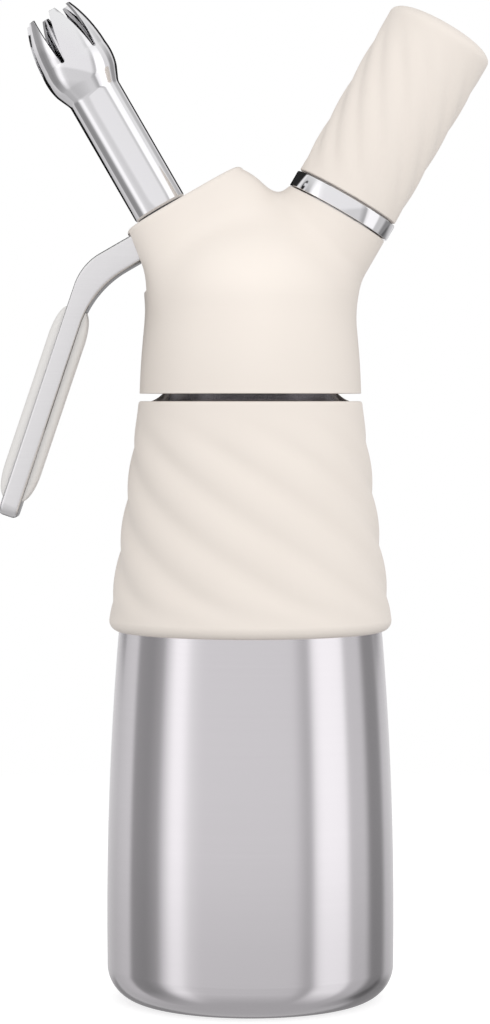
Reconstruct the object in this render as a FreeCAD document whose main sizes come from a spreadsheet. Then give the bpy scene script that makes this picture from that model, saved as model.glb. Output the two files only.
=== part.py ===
import FreeCAD, Part

# A cream whipper: a steel bottle in a wavy grip sleeve, and a screw-on head with two raked bosses.
# The left boss carries the lever, the dispensing valve and the tulip tip. The right boss carries the
# piercing nipple and the screw-on holder with its gas cartridge.
# Millimetres, +Z up, origin at the centre of the bottle's base, lever to the left (-X).

import math
import os
import re

import Sketcher
from FreeCAD import Placement, Rotation, Vector

# ---------------------------------------------------------------------------------------- sizes

SIZES = {
    # bottle, drawn from thin steel
    "bottle_radius": 40.0,
    "bottle_height": 184.7,
    "bottle_wall": 1.2,
    "base_corner": 10.0,
    "barrel_arc": 965.0,
    "waist_height": 107.0,
    "waist_radius": 36.4,
    "shoulder_arc": 422.0,
    "shoulder_height": 160.0,
    "shoulder_radius": 28.4,
    "collar_height": 166.9,
    "collar_radius": 26.8,
    "neck_foot": 169.3,
    "neck_radius": 24.4,
    "collar_arc": 3.2,
    # grip sleeve of the bottle
    "sleeve_foot": 103.0,
    "sleeve_height": 64.2,
    "sleeve_foot_wall": 3.0,
    "sleeve_top_wall": 2.8,
    "sleeve_bow": 0.6,
    "sleeve_lip": 2.6,
    "sleeve_top_edge": 0.8,
    "sleeve_crests": 10,
    "sleeve_lead": 144.0,
    "sleeve_wave": 0.75,
    "sleeve_crest_height": 148.0,
    # head casing
    "head_foot": 169.3,
    "skirt_radius": 30.9,
    "skirt_arc": 110.0,
    "skirt_height": 19.7,
    "shoulder_foot": 25.7,
    "shoulder_skin": 29.3,
    "knee_height": 37.4,
    "knee_radius": 25.96,
    "low_arc": 22.0,
    "high_arc": 32.6,
    "crown_height": 52.7,
    "skirt_bore": 27.7,
    "axes_height": 177.3,
    "axis_tilt": 30.0,
    "lever_boss_root": 18.0,
    "lever_boss_root_near": 15.6,
    "lever_boss_root_far": 26.5,
    "lever_boss_root_depth": 22.0,
    "lever_boss_waist": 33.0,
    "lever_boss_waist_near": 13.7,
    "lever_boss_waist_far": 28.6,
    "lever_boss_waist_depth": 17.0,
    "lever_boss_shoulder": 43.5,
    "lever_boss_shoulder_near": 12.1,
    "lever_boss_shoulder_far": 27.6,
    "lever_boss_shoulder_depth": 15.6,
    "lever_boss_top": 50.0,
    "lever_boss_top_near": 11.2,
    "lever_boss_top_far": 23.6,
    "lever_boss_top_depth": 15.0,
    "lever_boss_squareness": 3.2,
    "charger_boss_top": 48.4,
    "charger_boss_radius": 15.1,
    "charger_flare": 38.0,
    "charger_flare_foot": 20.0,
    "charger_flare_radius": 18.5,
    "charger_flare_arc": 50.0,
    "lever_boss_edge": 1.4,
    "charger_boss_edge": 0.5,
    # thread between bottle and head
    "thread_gap": 0.1,
    "ring_foot": 171.3,
    "ring_height": 13.2,
    "gasket_thickness": 2.2,
    "gasket_inner": 21.4,
    "gasket_outer": 25.2,
    "seat_gap": 0.1,
    "gasket_room": 0.3,
    "flow_space_radius": 20.0,
    "flow_space_height": 3.0,
    # dispensing valve, along the nozzle axis from where the two axes meet
    "stem_radius": 3.5,
    "stem_bore": 1.9,
    "stem_foot": 17.2,
    "stem_top": 54.0,
    "spigot_radius": 2.6,
    "valve_disc_radius": 5.6,
    "valve_disc_foot": 12.6,
    "seal_foot": 15.0,
    "valve_seat": 17.3,
    "valve_chamber_radius": 7.5,
    "valve_chamber_foot": 8.0,
    "screw_shank": 1.3,
    "port_height": 21.0,
    "port_radius": 0.9,
    "ring_section": 0.9,
    "seal_bore": 4.5,
    "guide_bore": 3.6,
    "lower_ring_height": 24.9,
    "upper_ring_height": 48.9,
    "guide_foot": 26.3,
    "spring_floor": 27.5,
    "spring_pocket": 6.8,
    "spring_radius": 5.0,
    "spring_wire": 0.9,
    "spring_turns": 4.5,
    "flange_foot": 36.0,
    "flange_radius": 6.5,
    "flange_thickness": 2.4,
    # threaded adapter for the tip
    "adapter_foot": 44.8,
    "adapter_radius": 7.0,
    "adapter_neck": 6.0,
    "adapter_top": 56.0,
    "adapter_relief": 50.6,
    # decorating tip
    "tip_base": 50.7,
    "tip_radius": 7.7,
    "tip_wall": 0.9,
    "tip_base_edge": 0.6,
    "tip_shoulder": 57.2,
    "tip_shoulder_thickness": 1.4,
    "tip_shoulder_bore": 3.8,
    "tip_tube_top": 87.5,
    "tulip_foot_radius": 9.5,
    "tulip_foot": 93.2,
    "tulip_waist_radius": 9.7,
    "tulip_waist": 100.7,
    "tulip_rim_radius": 7.0,
    "tulip_rim": 112.9,
    "tulip_low_arc": 17.8,
    "tulip_high_arc": 33.0,
    "tines": 6,
    "slit_foot": 99.0,
    "slit_width": 5.2,
    "slit_foot_width": 1.4,
    "slit_foot_sag": 0.05,
    "slit_turn": 18.0,
    "washer_thickness": 1.0,
    "washer_inner": 3.9,
    "washer_outer": 5.8,
    # lever
    "pin_reach": 11.0,
    "pin_rise": 2.6,
    "pin_radius": 1.5,
    "pin_front": 11.0,
    "pin_back": 14.2,
    "running_gap": 0.05,
    "eye_radius": 3.4,
    "fork_gap": 7.8,
    "fork_reach": 5.5,
    "fork_foot": 40.3,
    "fork_top": 43.2,
    "nose_reach": 2.2,
    "nose_sag": 0.11,
    "fork_root": 8.5,
    "root_reach": 9.5,
    "root_shoulder": 8.0,
    "root_foot": 40.95,
    "root_top": 47.9,
    "bend_start": 17.3,
    "bend_outer_arc": 23.5,
    "bend_inner_start": 16.4,
    "bend_inner_arc": 28.5,
    "bend_angle": 41.3,
    "handle_length": 63.0,
    "handle_end": 4.2,
    "handle_end_arc": 2.6,
    "handle_thickness": 4.5,
    "handle_width": 15.0,
    "lever_swing": 15.0,
    "lever_gap": 0.3,
    "slot_reach": 24.0,
    # soft pad through the lever's handle
    "pad_start": 3.8,
    "pad_length": 56.0,
    "pad_width": 10.4,
    "pad_proud": 2.85,
    "pad_sink": 0.4,
    "pad_ramp": 9.0,
    # charging side, along the charger axis from where the two axes meet
    "gas_bore": 2.2,
    "gas_bore_foot": 8.0,
    "check_pocket_foot": 28.0,
    "check_radius": 4.2,
    "check_foot": 28.8,
    "check_disc": 1.3,
    "check_bill": 1.2,
    "nipple_foot": 34.0,
    "nipple_radius": 9.0,
    "nipple_shelf": 43.0,
    "nipple_thread": 12.0,
    "nipple_top": 55.2,
    "nipple_wall": 1.0,
    "nipple_ring_height": 4.5,
    "piercer_radius": 2.5,
    "piercer_foot": 35.0,
    "piercer_shoulder": 38.4,
    "piercer_point": 42.0,
    "piercer_tip_radius": 1.1,
    "piercer_bore": 0.5,
    "mouth_seal_thickness": 1.8,
    "mouth_seal_inner": 2.0,
    "mouth_bore": 5.0,
    # gas cartridge, 8 g size
    "cartridge_seat_gap": 0.05,
    "cartridge_length": 65.5,
    "cartridge_radius": 9.0,
    "cartridge_neck": 4.3,
    "cartridge_neck_length": 7.0,
    "cartridge_shoulder": 9.2,
    "cartridge_shoulder_arc": 11.5,
    "cartridge_wall": 1.0,
    "cartridge_end": 4.0,
    "cartridge_mouth": 1.4,
    # holder
    "holder_gap": 0.3,
    "holder_bore": 9.4,
    "holder_wall": 1.6,
    "holder_ring_radius": 15.15,
    "holder_ring_height": 5.0,
    "holder_bell_radius": 13.6,
    "holder_bell_height": 8.5,
    "holder_end_wall": 1.2,
    "grip_radius": 15.05,
    "grip_end_radius": 15.5,
    "grip_crests": 12,
    "grip_lead": 150.0,
    "grip_wave": 0.4,
    "grip_crest_height": 77.0,
    "grip_end": 109.3,
    "grip_dome": 4.9,
    "grip_end_squareness": 2.6,
    "grip_seam": 0.25,
}

doc = FreeCAD.newDocument("CreamWhipper")
sheet = doc.addObject("Spreadsheet::Sheet", "Sizes")
for row, (name, number) in enumerate(SIZES.items(), start=1):
    sheet.set(f"A{row}", name)
    sheet.set(f"B{row}", str(number))
    sheet.setAlias(f"B{row}", name)
doc.recompute()

WORD = re.compile(r"[a-z][a-z0-9_]*")


def linked(text):
    """The same expression as an object outside the sheet writes it."""
    return WORD.sub(lambda word: "Sizes." + word[0] if word[0] in SIZES else word[0], text)


def value(text):
    """What an expression in the sheet's words comes to."""
    return float(sheet.evalExpression(text))


# --------------------------------------------------------------------------- shared ways to build


def frame(tilt_text):
    """A place on the bottle axis where the boss axes meet, with Z leaning along one of them."""
    return Placement(Vector(0, 0, value("axes_height")), Rotation(Vector(0, 1, 0), value(tilt_text)))


NOZZLE_FRAME = frame("0 - axis_tilt")
CHARGER_FRAME = frame("axis_tilt")
SOLIDS = []

# heights and places that more than one piece shares, in the sheet's words
GASKET_FOOT = "bottle_height + seat_gap"
CEILING = "bottle_height + seat_gap + gasket_thickness + seat_gap"
RING_TOP = "ring_foot + ring_height"
SCREW_TOP = "port_height - 2 * port_radius"
HOLDER_FOOT = "charger_boss_top + holder_gap"
HOLDER_RING_TOP = HOLDER_FOOT + " + holder_ring_height"
HOLDER_BELL_TOP = HOLDER_FOOT + " + holder_bell_height"
CARTRIDGE_FOOT = "piercer_shoulder + mouth_seal_thickness + cartridge_seat_gap"
CARTRIDGE_END = CARTRIDGE_FOOT + " + cartridge_length"
HOLDER_END = CARTRIDGE_END + " + holder_gap + holder_end_wall"
GRIP_FOOT = HOLDER_RING_TOP + " + grip_seam"
PIN_HEIGHT = "flange_foot + flange_thickness + pin_rise"
BEND_END_ACROSS = "0 - bend_start - bend_outer_arc * sin(bend_angle)"
BEND_END_UP = "root_top - bend_outer_arc * (1 - cos(bend_angle))"


def keep(thing, label):
    """Names a finished sub-part."""
    thing.Label = label
    SOLIDS.append(thing)
    return thing


def new_body(name):
    """A PartDesign body; its name is only the document's own."""
    return doc.addObject("PartDesign::Body", "Body_" + name)


def plane_of(body, role):
    """One of the body's own origin planes."""
    return next(item for item in body.Origin.OriginFeatures if item.Role == role)


def sketch_on(body, name, role="XZ_Plane"):
    """An empty sketch on an origin plane of its body."""
    sketch = body.newObject("Sketcher::SketchObject", name)
    sketch.AttachmentSupport = [(plane_of(body, role), "")]
    sketch.MapMode = "FlatFace"
    return sketch


def edge_between(start, end, bend):
    """A straight edge, or an arc of the given radius that turns left from start to end."""
    if not bend:
        return Part.LineSegment(start, end)
    chord = end - start
    right = Vector(chord.y, -chord.x, 0).normalize()
    sagitta = bend - math.sqrt(max(bend**2 - (chord.Length / 2) ** 2, 0.0))
    return Part.Arc(start, (start + end) * 0.5 + right * sagitta, end)


def outline(body, name, corners, role="XZ_Plane"):
    """A closed sketch. A corner is (across, up) or, where an arc leads to the next one,
    (across, up, radius) with a minus sign before the radius where it turns right."""
    sketch = sketch_on(body, name, role)
    points = [Vector(value(corner[0]), value(corner[1]), 0) for corner in corners]
    bends = [value(corner[2]) if len(corner) > 2 else 0.0 for corner in corners]
    count = len(corners)
    starts = [2 if bend < 0 else 1 for bend in bends]
    for index, bend in enumerate(bends):
        ends = [points[index], points[(index + 1) % count]]
        if bend < 0:
            ends.reverse()
        sketch.addGeometry(edge_between(ends[0], ends[1], abs(bend)), False)
    for index in range(count):
        following = (index + 1) % count
        joined = Sketcher.Constraint("Coincident", index, 3 - starts[index], following, starts[following])
        sketch.addConstraint(joined)
    for index, corner in enumerate(corners):
        for kind, axis, text in (("DistanceX", -2, corner[0]), ("DistanceY", -1, corner[1])):
            if text == "0":
                sketch.addConstraint(Sketcher.Constraint("PointOnObject", index, starts[index], axis))
                continue
            distance = Sketcher.Constraint(kind, -1, 1, index, starts[index], value(text))
            number = sketch.addConstraint(distance)
            label = f"corner_{index}_{kind[-1].lower()}"
            sketch.renameConstraint(number, label)
            sketch.setExpression("Constraints." + label, linked(text))
        if bends[index]:
            number = sketch.addConstraint(Sketcher.Constraint("Radius", index, abs(bends[index])))
            label = f"arc_{index}"
            sketch.renameConstraint(number, label)
            sketch.setExpression("Constraints." + label, linked(corner[2].lstrip("-")))
    return sketch


def revolved(name, corners, place=None):
    """A body turned about its own Z axis from a closed half section (radius, height)."""
    body = new_body(name)
    sketch = outline(body, name + "_section", corners)
    turned = body.newObject("PartDesign::Revolution", name + "_turned")
    turned.Profile = sketch
    turned.ReferenceAxis = (sketch, ["V_Axis"])
    turned.Angle = 360
    sketch.Visibility = False
    body.Placement = place or Placement()
    return body


def padded(name, corners, width_text, place=None):
    """A body of a closed side outline (across, up), as wide as said and centred on its plane."""
    body = new_body(name)
    sketch = outline(body, name + "_outline", corners)
    extrusion = body.newObject("PartDesign::Pad", name + "_width")
    extrusion.Profile = sketch
    extrusion.Midplane = True
    extrusion.setExpression("Length", linked(width_text))
    body.Placement = place or Placement()
    return body


def tube(name, outer, inner, foot, thickness, place=None):
    """A plain ring with a square section."""
    top = f"{foot} + {thickness}"
    corners = [(inner, foot), (outer, foot), (outer, top), (inner, top)]
    return revolved(name, corners, place)


def seal_ring(name, groove_radius, height, place):
    """A rubber ring with an eight-sided section, lying on the floor of its groove."""
    middle = f"{groove_radius} + ring_section"
    corners = []
    for step in range(8):
        across = f"{middle} + ring_section * cos({45 * step + 22.5}) / cos(22.5)"
        up = f"{height} + ring_section * sin({45 * step + 22.5}) / cos(22.5)"
        corners.append((across, up))
    return revolved(name, corners, place)


def cut(name, base, tools):
    """The base with every tool taken out of it."""
    tool = tools[0]
    if len(tools) > 1:
        tool = doc.addObject("Part::MultiFuse", name + "_tools")
        tool.Shapes = tools
    result = doc.addObject("Part::Cut", name)
    result.Base = base
    result.Tool = tool
    return result


def closed_curve(points):
    """A smooth closed wire through the points, with its parameter rising by one at each."""
    curve = Part.BSplineCurve()
    steps = [float(number) for number in range(len(points) + 1)]
    curve.interpolate(Points=points, Parameters=steps, PeriodicFlag=True)
    return Part.Wire([curve.toShape()])


def smooth_step(share):
    """Rises from 0 to 1 without a kink."""
    share = min(max(share, 0.0), 1.0)
    return share * share * (3 - 2 * share)


# --------------------------------------------------------------------------------- wavy grips

POINTS_PER_CREST = 6
LEVELS_PER_WAVE = 5.5


def wavy_section(radius, height, crests, amplitude, lead, crest_height):
    """One level of a grip: a circle with a crest of the wave in each of its equal shares. The crests
    turn with the height, one whole turn in each lead, which makes them spirals."""
    turn = -2 * math.pi * (height - crest_height) / lead
    points = []
    for step in range(crests * POINTS_PER_CREST):
        around = 2 * math.pi * step / (crests * POINTS_PER_CREST)
        reach = radius + amplitude * math.cos(crests * (around - turn))
        points.append(Vector(reach * math.cos(around), reach * math.sin(around), height))
    return closed_curve(points)


def wavy_grip(name, levels):
    """A solid skinned over levels of (height, radius, amplitude) of the grip so named."""
    crests = int(SIZES[name + "_crests"])
    lead = value(name + "_lead")
    crest_height = value(name + "_crest_height")
    sections = [wavy_section(radius, height, crests, wave, lead, crest_height)
                for height, radius, wave in levels]
    return Part.makeLoft(sections, True, False)


def level_shares(name, length):
    """Even shares of a grip's length, close enough together to follow its waves."""
    count = math.ceil(LEVELS_PER_WAVE * length * SIZES[name + "_crests"] / value(name + "_lead"))
    return [step / count for step in range(count + 1)]


def sleeve_levels():
    """Heights, mean radii and wave depths of the bottle's sleeve, from its foot to its top."""
    foot = value("sleeve_foot")
    height = value("sleeve_height")
    lip = value("sleeve_lip")
    edge = value("sleeve_top_edge")
    low = value("waist_radius + sleeve_foot_wall")
    high = value("shoulder_radius + sleeve_top_wall")
    length = height - lip - edge
    levels = []
    for share in (0.0, 0.3, 0.65):
        drop = lip * (1 - math.sqrt(1 - (1 - share) ** 2))
        levels.append((foot + lip * share, low - drop, 0.0))
    for share in level_shares("sleeve", length):
        mean = low + (high - low) * share + value("sleeve_bow") * math.sin(math.pi * share)
        fade = smooth_step(share / 0.14) * smooth_step((0.97 - share) / 0.24)
        levels.append((foot + lip + length * share, mean, value("sleeve_wave") * fade))
    levels.append((foot + height - edge * 0.3, high - edge * 0.3, 0.0))
    levels.append((foot + height, high - edge, 0.0))
    return levels


def grip_levels():
    """The same for the holder's grip. Its end is a rounded square quarter, a superellipse."""
    foot = value(GRIP_FOOT)
    rise = value("grip_dome")
    top = value("grip_end") - rise
    middle = value("grip_radius")
    end = value("grip_end_radius")
    levels = []
    for share in level_shares("grip", top - foot):
        fade = smooth_step(share / 0.2) * smooth_step((1 - share) / 0.25)
        mean = middle + (end - middle) * share**3
        levels.append((foot + (top - foot) * share, mean, value("grip_wave") * fade))
    power = 2 / value("grip_end_squareness")
    for degrees in (15, 30, 45, 60, 75):
        lean = math.radians(degrees)
        levels.append((top + rise * math.sin(lean) ** power, end * math.cos(lean) ** power, 0.0))
    return levels


# -------------------------------------------------------------------------------------- bottle


def make_bottle():
    """The drawn steel bottle, one wall thick from the floor to the open mouth, and its solid form."""
    outside = [
        ("bottle_radius - base_corner", "0", "base_corner"),
        ("bottle_radius", "base_corner", "barrel_arc"),
        ("waist_radius", "waist_height", "shoulder_arc"),
        ("shoulder_radius", "shoulder_height"),
        ("collar_radius", "collar_height", "-collar_arc"),
        ("neck_radius", "neck_foot"),
        ("neck_radius", "bottle_height"),
    ]
    inside = [
        ("neck_radius - bottle_wall", "bottle_height"),
        ("neck_radius - bottle_wall", "neck_foot", "collar_arc"),
        ("collar_radius - bottle_wall", "collar_height"),
        ("shoulder_radius - bottle_wall", "shoulder_height", "-shoulder_arc"),
        ("waist_radius - bottle_wall", "waist_height", "-barrel_arc"),
        ("bottle_radius - bottle_wall", "base_corner", "-(base_corner - bottle_wall)"),
        ("bottle_radius - base_corner", "bottle_wall"),
    ]
    bottle = revolved("bottle", [("0", "0")] + outside + inside + [("0", "bottle_wall")])
    form = revolved("bottle_form", [("0", "0")] + outside + [("0", "bottle_height")])
    return keep(bottle, "bottle"), form


def make_bottle_sleeve(bottle_form):
    """The soft sleeve: a spiral-waved skin outside, and the bottle's own form inside."""
    sleeve = doc.addObject("Part::Feature", "BottleSleeve")
    sleeve.Shape = wavy_grip("sleeve", sleeve_levels()).cut(bottle_form.Shape)
    sleeve.Placement = Placement()
    return keep(sleeve, "bottle_sleeve")


# ---------------------------------------------------------------------------------------- head


def squarish_section(level, squareness):
    """A level of the lever boss: a circle drawn out towards a rectangle that is off centre."""
    near = -value(f"lever_boss_{level}_near")
    far = value(f"lever_boss_{level}_far")
    depth = value(f"lever_boss_{level}_depth")
    middle = (near + far) / 2
    half = (far - near) / 2
    points = []
    steps = 32
    for step in range(steps):
        around = 2 * math.pi * step / steps
        across = math.copysign(abs(math.cos(around)) ** (2 / squareness), math.cos(around))
        deep = math.copysign(abs(math.sin(around)) ** (2 / squareness), math.sin(around))
        points.append(Vector(middle + half * across, depth * deep, value(f"lever_boss_{level}")))
    return closed_curve(points)


def make_lever_boss():
    """The squarish boss on the nozzle axis, flared where it grows out of the head."""
    squareness = value("lever_boss_squareness")
    levels = [squarish_section(level, squareness) for level in ("root", "waist", "shoulder", "top")]
    boss = doc.addObject("Part::Feature", "LeverBoss")
    skinned = Part.makeLoft(levels, True, False)
    face = max(skinned.Faces, key=lambda item: item.CenterOfMass.z)
    boss.Shape = skinned.makeFillet(value("lever_boss_edge"), face.Edges)
    boss.Placement = NOZZLE_FRAME
    return boss


def make_charger_boss():
    """The round boss on the charger axis."""
    corners = [
        ("0", "lever_boss_root"),
        ("charger_flare_radius", "lever_boss_root"),
        ("charger_flare_radius", "charger_flare_foot", "-charger_flare_arc"),
        ("charger_boss_radius", "charger_flare"),
        ("charger_boss_radius", "charger_boss_top - charger_boss_edge"),
        ("charger_boss_radius - charger_boss_edge", "charger_boss_top"),
        ("0", "charger_boss_top"),
    ]
    return revolved("charger_boss", corners, CHARGER_FRAME)


def make_head_shell():
    """The moulded casing: a skirt and shoulder with the two bosses, bored from its four openings."""
    shoulder = revolved("head_shoulder", [
        ("0", "head_foot"),
        ("skirt_radius", "head_foot", "skirt_arc"),
        ("shoulder_skin", "head_foot + skirt_height"),
        ("shoulder_skin", "head_foot + shoulder_foot", "low_arc"),
        ("knee_radius", "head_foot + knee_height", "high_arc"),
        ("0", "head_foot + crown_height"),
    ])
    form = doc.addObject("Part::MultiFuse", "HeadForm")
    form.Shapes = [shoulder, make_lever_boss(), make_charger_boss()]
    mouth_bore = revolved("mouth_bore", [
        ("0", "head_foot - 1"),
        ("skirt_bore", "head_foot - 1"),
        ("skirt_bore", RING_TOP),
        ("gasket_outer + gasket_room", RING_TOP),
        ("gasket_outer + gasket_room", CEILING),
        ("flow_space_radius", CEILING),
        ("flow_space_radius", CEILING + " + flow_space_height"),
        ("0", CEILING + " + flow_space_height"),
    ])
    valve_bore = revolved("valve_bore", [
        ("0", "valve_chamber_foot"),
        ("valve_chamber_radius", "valve_chamber_foot"),
        ("valve_chamber_radius", "valve_seat"),
        ("seal_bore", "valve_seat"),
        ("seal_bore", "guide_foot"),
        ("guide_bore", "guide_foot"),
        ("guide_bore", "spring_floor"),
        ("spring_pocket", "spring_floor"),
        ("spring_pocket", "adapter_foot"),
        ("adapter_radius", "adapter_foot"),
        ("adapter_radius", "lever_boss_top + 1"),
        ("0", "lever_boss_top + 1"),
    ], NOZZLE_FRAME)
    gas_bore = revolved("gas_bore", [
        ("0", "gas_bore_foot"),
        ("gas_bore", "gas_bore_foot"),
        ("gas_bore", "check_pocket_foot"),
        ("check_radius", "check_pocket_foot"),
        ("check_radius", "nipple_foot"),
        ("nipple_radius", "nipple_foot"),
        ("nipple_radius", "nipple_shelf"),
        ("nipple_thread", "nipple_shelf"),
        ("nipple_thread", "charger_boss_top + 1"),
        ("0", "charger_boss_top + 1"),
    ], CHARGER_FRAME)
    far_end = "pin_reach + eye_radius + lever_gap"
    lever_slot = padded("lever_slot", [
        (far_end, "adapter_foot"),
        ("lever_gap - root_shoulder", "adapter_foot"),
        ("lever_gap - root_shoulder", "root_top + lever_gap"),
        ("0 - slot_reach", "root_top + lever_gap"),
        ("0 - slot_reach", "root_foot - lever_gap - (slot_reach + pin_reach) * sin(lever_swing)"),
        (far_end, PIN_HEIGHT + " - eye_radius - lever_gap"),
    ], "handle_width + 2 * lever_gap", NOZZLE_FRAME)
    pin_hole = pin_cylinder("PinHole", "pin_radius", "pin_front + lever_boss_root_depth")
    shell = cut("HeadShell", form, [mouth_bore, valve_bore, gas_bore, lever_slot, pin_hole])
    return keep(shell, "head_shell")


def pin_cylinder(name, radius, length):
    """A cylinder on the lever's pivot line, from the pin's front end towards the back."""
    cylinder = doc.addObject("Part::Cylinder", name)
    cylinder.setExpression("Radius", linked(radius))
    cylinder.setExpression("Height", linked(length))
    start = Vector(value("pin_reach"), -value("pin_front"), value(PIN_HEIGHT))
    cylinder.Placement = NOZZLE_FRAME.multiply(Placement(start, Rotation(Vector(1, 0, 0), -90)))
    return cylinder


def make_neck_fittings():
    """The metal thread ring moulded into the skirt, and the gasket that the bottle's rim meets."""
    ring = tube("thread_ring", "skirt_bore", "neck_radius + thread_gap", "ring_foot", "ring_height")
    keep(ring, "thread_ring")
    gasket = tube("head_gasket", "gasket_outer", "gasket_inner", GASKET_FOOT, "gasket_thickness")
    keep(gasket, "head_gasket")


# --------------------------------------------------------------------------- dispensing valve


def make_adapter():
    """The threaded metal collar in the lever boss that the decorating tip screws onto."""
    corners = [
        ("guide_bore", "adapter_relief"),
        ("seal_bore", "adapter_relief"),
        ("seal_bore", "adapter_foot"),
        ("adapter_radius", "adapter_foot"),
        ("adapter_radius", "lever_boss_top"),
        ("adapter_neck", "lever_boss_top"),
        ("adapter_neck", "adapter_top"),
        ("guide_bore", "adapter_top"),
    ]
    keep(revolved("adapter", corners, NOZZLE_FRAME), "nozzle_adapter")


def groove(height):
    """The four corners of a ring groove in the stem, from its lower lip to its upper one."""
    floor = "seal_bore - running_gap - 2 * ring_section"
    return [
        ("stem_radius", f"{height} - ring_section"),
        (floor, f"{height} - ring_section"),
        (floor, f"{height} + ring_section"),
        ("stem_radius", f"{height} + ring_section"),
    ]


def make_valve():
    """The sliding valve: a hollow stem with a flange for the lever, its seal, screw and rings."""
    corners = [
        ("screw_shank", "seal_foot"),
        ("spigot_radius", "seal_foot"),
        ("spigot_radius", "stem_foot"),
        ("stem_radius", "stem_foot"),
        *groove("lower_ring_height"),
        ("stem_radius", "flange_foot"),
        ("flange_radius", "flange_foot"),
        ("flange_radius", "flange_foot + flange_thickness"),
        ("stem_radius", "flange_foot + flange_thickness"),
        *groove("upper_ring_height"),
        ("stem_radius", "stem_top"),
        ("stem_bore", "stem_top"),
        ("stem_bore", SCREW_TOP),
        ("screw_shank", SCREW_TOP),
    ]
    turned = revolved("stem", corners, NOZZLE_FRAME)
    ports = []
    for number, lean in enumerate((Vector(1, 0, 0), Vector(0, 1, 0))):
        port = doc.addObject("Part::Cylinder", f"StemPort{number}")
        port.setExpression("Radius", linked("port_radius"))
        port.setExpression("Height", linked("4 * stem_radius"))
        across = Rotation(Vector(0, 0, 1), lean)
        start = Vector(0, 0, value("port_height")) - lean * value("2 * stem_radius")
        port.Placement = NOZZLE_FRAME.multiply(Placement(start, across))
        ports.append(port)
    keep(cut("ValveStem", turned, ports), "valve_stem")
    seal = tube("valve_seal", "valve_disc_radius", "spigot_radius", "seal_foot",
                "stem_foot - seal_foot", NOZZLE_FRAME)
    keep(seal, "valve_seal")
    screw = revolved("seal_screw", [
        ("0", "valve_disc_foot"),
        ("valve_disc_radius", "valve_disc_foot"),
        ("valve_disc_radius", "seal_foot"),
        ("screw_shank", "seal_foot"),
        ("screw_shank", SCREW_TOP),
        ("0", SCREW_TOP),
    ], NOZZLE_FRAME)
    keep(screw, "seal_screw")
    floor = "(seal_bore - running_gap - 2 * ring_section)"
    keep(seal_ring("LowerRing", floor, "lower_ring_height", NOZZLE_FRAME), "lower_o_ring")
    keep(seal_ring("UpperRing", floor, "upper_ring_height", NOZZLE_FRAME), "upper_o_ring")


STATIONS_PER_TURN = 12
WIRE_SIDES = 6


def make_valve_spring():
    """The coil spring between the floor of its pocket and the stem's flange, with a six-sided wire."""
    turns = value("spring_turns")
    thick = value("spring_wire / 2")
    foot = value("spring_floor") + thick
    climb = value("flange_foot - spring_floor - spring_wire")
    stations = math.ceil(turns * STATIONS_PER_TURN)
    up = Vector(0, 0, 1)
    sections = []
    for station in range(stations + 1):
        share = station / stations
        around = 2 * math.pi * turns * share
        outward = Vector(math.cos(around), math.sin(around), 0)
        centre = outward * value("spring_radius") + up * (foot + climb * share)
        corners = []
        for step in range(WIRE_SIDES):
            lean = 2 * math.pi * (step + 0.5) / WIRE_SIDES
            corners.append(centre + (outward * math.cos(lean) + up * math.sin(lean)) * thick)
        sections.append(Part.makePolygon(corners + corners[:1]))
    spring = doc.addObject("Part::Feature", "ValveSpring")
    spring.Shape = Part.makeLoft(sections, True, True)
    spring.Placement = NOZZLE_FRAME
    keep(spring, "valve_spring")


# --------------------------------------------------------------------------------- tulip tip


def make_tip():
    """The decorating tip: a tube that swells into a tulip, slit into tines from its rim."""
    outside = [
        ("tip_radius - tip_base_edge", "tip_base"),
        ("tip_radius", "tip_base + tip_base_edge"),
        ("tip_radius", "tip_tube_top"),
        ("tulip_foot_radius", "tulip_foot", "tulip_low_arc"),
        ("tulip_waist_radius", "tulip_waist", "tulip_high_arc"),
        ("tulip_rim_radius", "tulip_rim"),
    ]
    inside = [
        ("tulip_rim_radius - tip_wall", "tulip_rim", "-tulip_high_arc"),
        ("tulip_waist_radius - tip_wall", "tulip_waist", "-tulip_low_arc"),
        ("tulip_foot_radius - tip_wall", "tulip_foot"),
        ("tip_radius - tip_wall", "tip_tube_top"),
        ("tip_radius - tip_wall", "tip_shoulder + tip_shoulder_thickness"),
        ("tip_shoulder_bore", "tip_shoulder + tip_shoulder_thickness"),
        ("tip_shoulder_bore", "tip_shoulder"),
        ("adapter_neck + thread_gap", "tip_shoulder"),
        ("adapter_neck + thread_gap", "tip_base"),
    ]
    place = NOZZLE_FRAME.multiply(Placement(Vector(), Rotation(Vector(0, 0, 1), -value("slit_turn"))))
    body = revolved("tip", outside + inside, place)
    slit = outline(body, "tip_slit", [
        ("0 - slit_foot_width / 2", "slit_foot", "slit_foot_width / 2 + slit_foot_sag"),
        ("slit_foot_width / 2", "slit_foot"),
        ("slit_width / 2", "tulip_rim"),
        ("slit_width / 2", "tulip_rim + 1"),
        ("0 - slit_width / 2", "tulip_rim + 1"),
        ("0 - slit_width / 2", "tulip_rim"),
    ])
    doc.recompute()
    whole = body.Shape.Volume
    pocket = body.newObject("PartDesign::Pocket", "tip_slit_cut")
    pocket.Profile = slit
    pocket.setExpression("Length", linked("2 * tulip_waist_radius"))
    doc.recompute()
    if pocket.Shape.Volume > whole - 1:
        pocket.Reversed = True
    pattern = body.newObject("PartDesign::PolarPattern", "tip_slits")
    pattern.Originals = [pocket]
    pattern.Axis = (plane_of(body, "Z_Axis"), [""])
    pattern.Angle = 360
    pattern.Occurrences = int(SIZES["tines"])
    body.Tip = pattern
    keep(body, "decorator_tip")
    washer = tube("washer", "washer_outer", "washer_inner", "tip_shoulder - seat_gap - washer_thickness",
                  "washer_thickness", NOZZLE_FRAME)
    keep(washer, "tip_seal")


# ------------------------------------------------------------------------------------- lever


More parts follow.
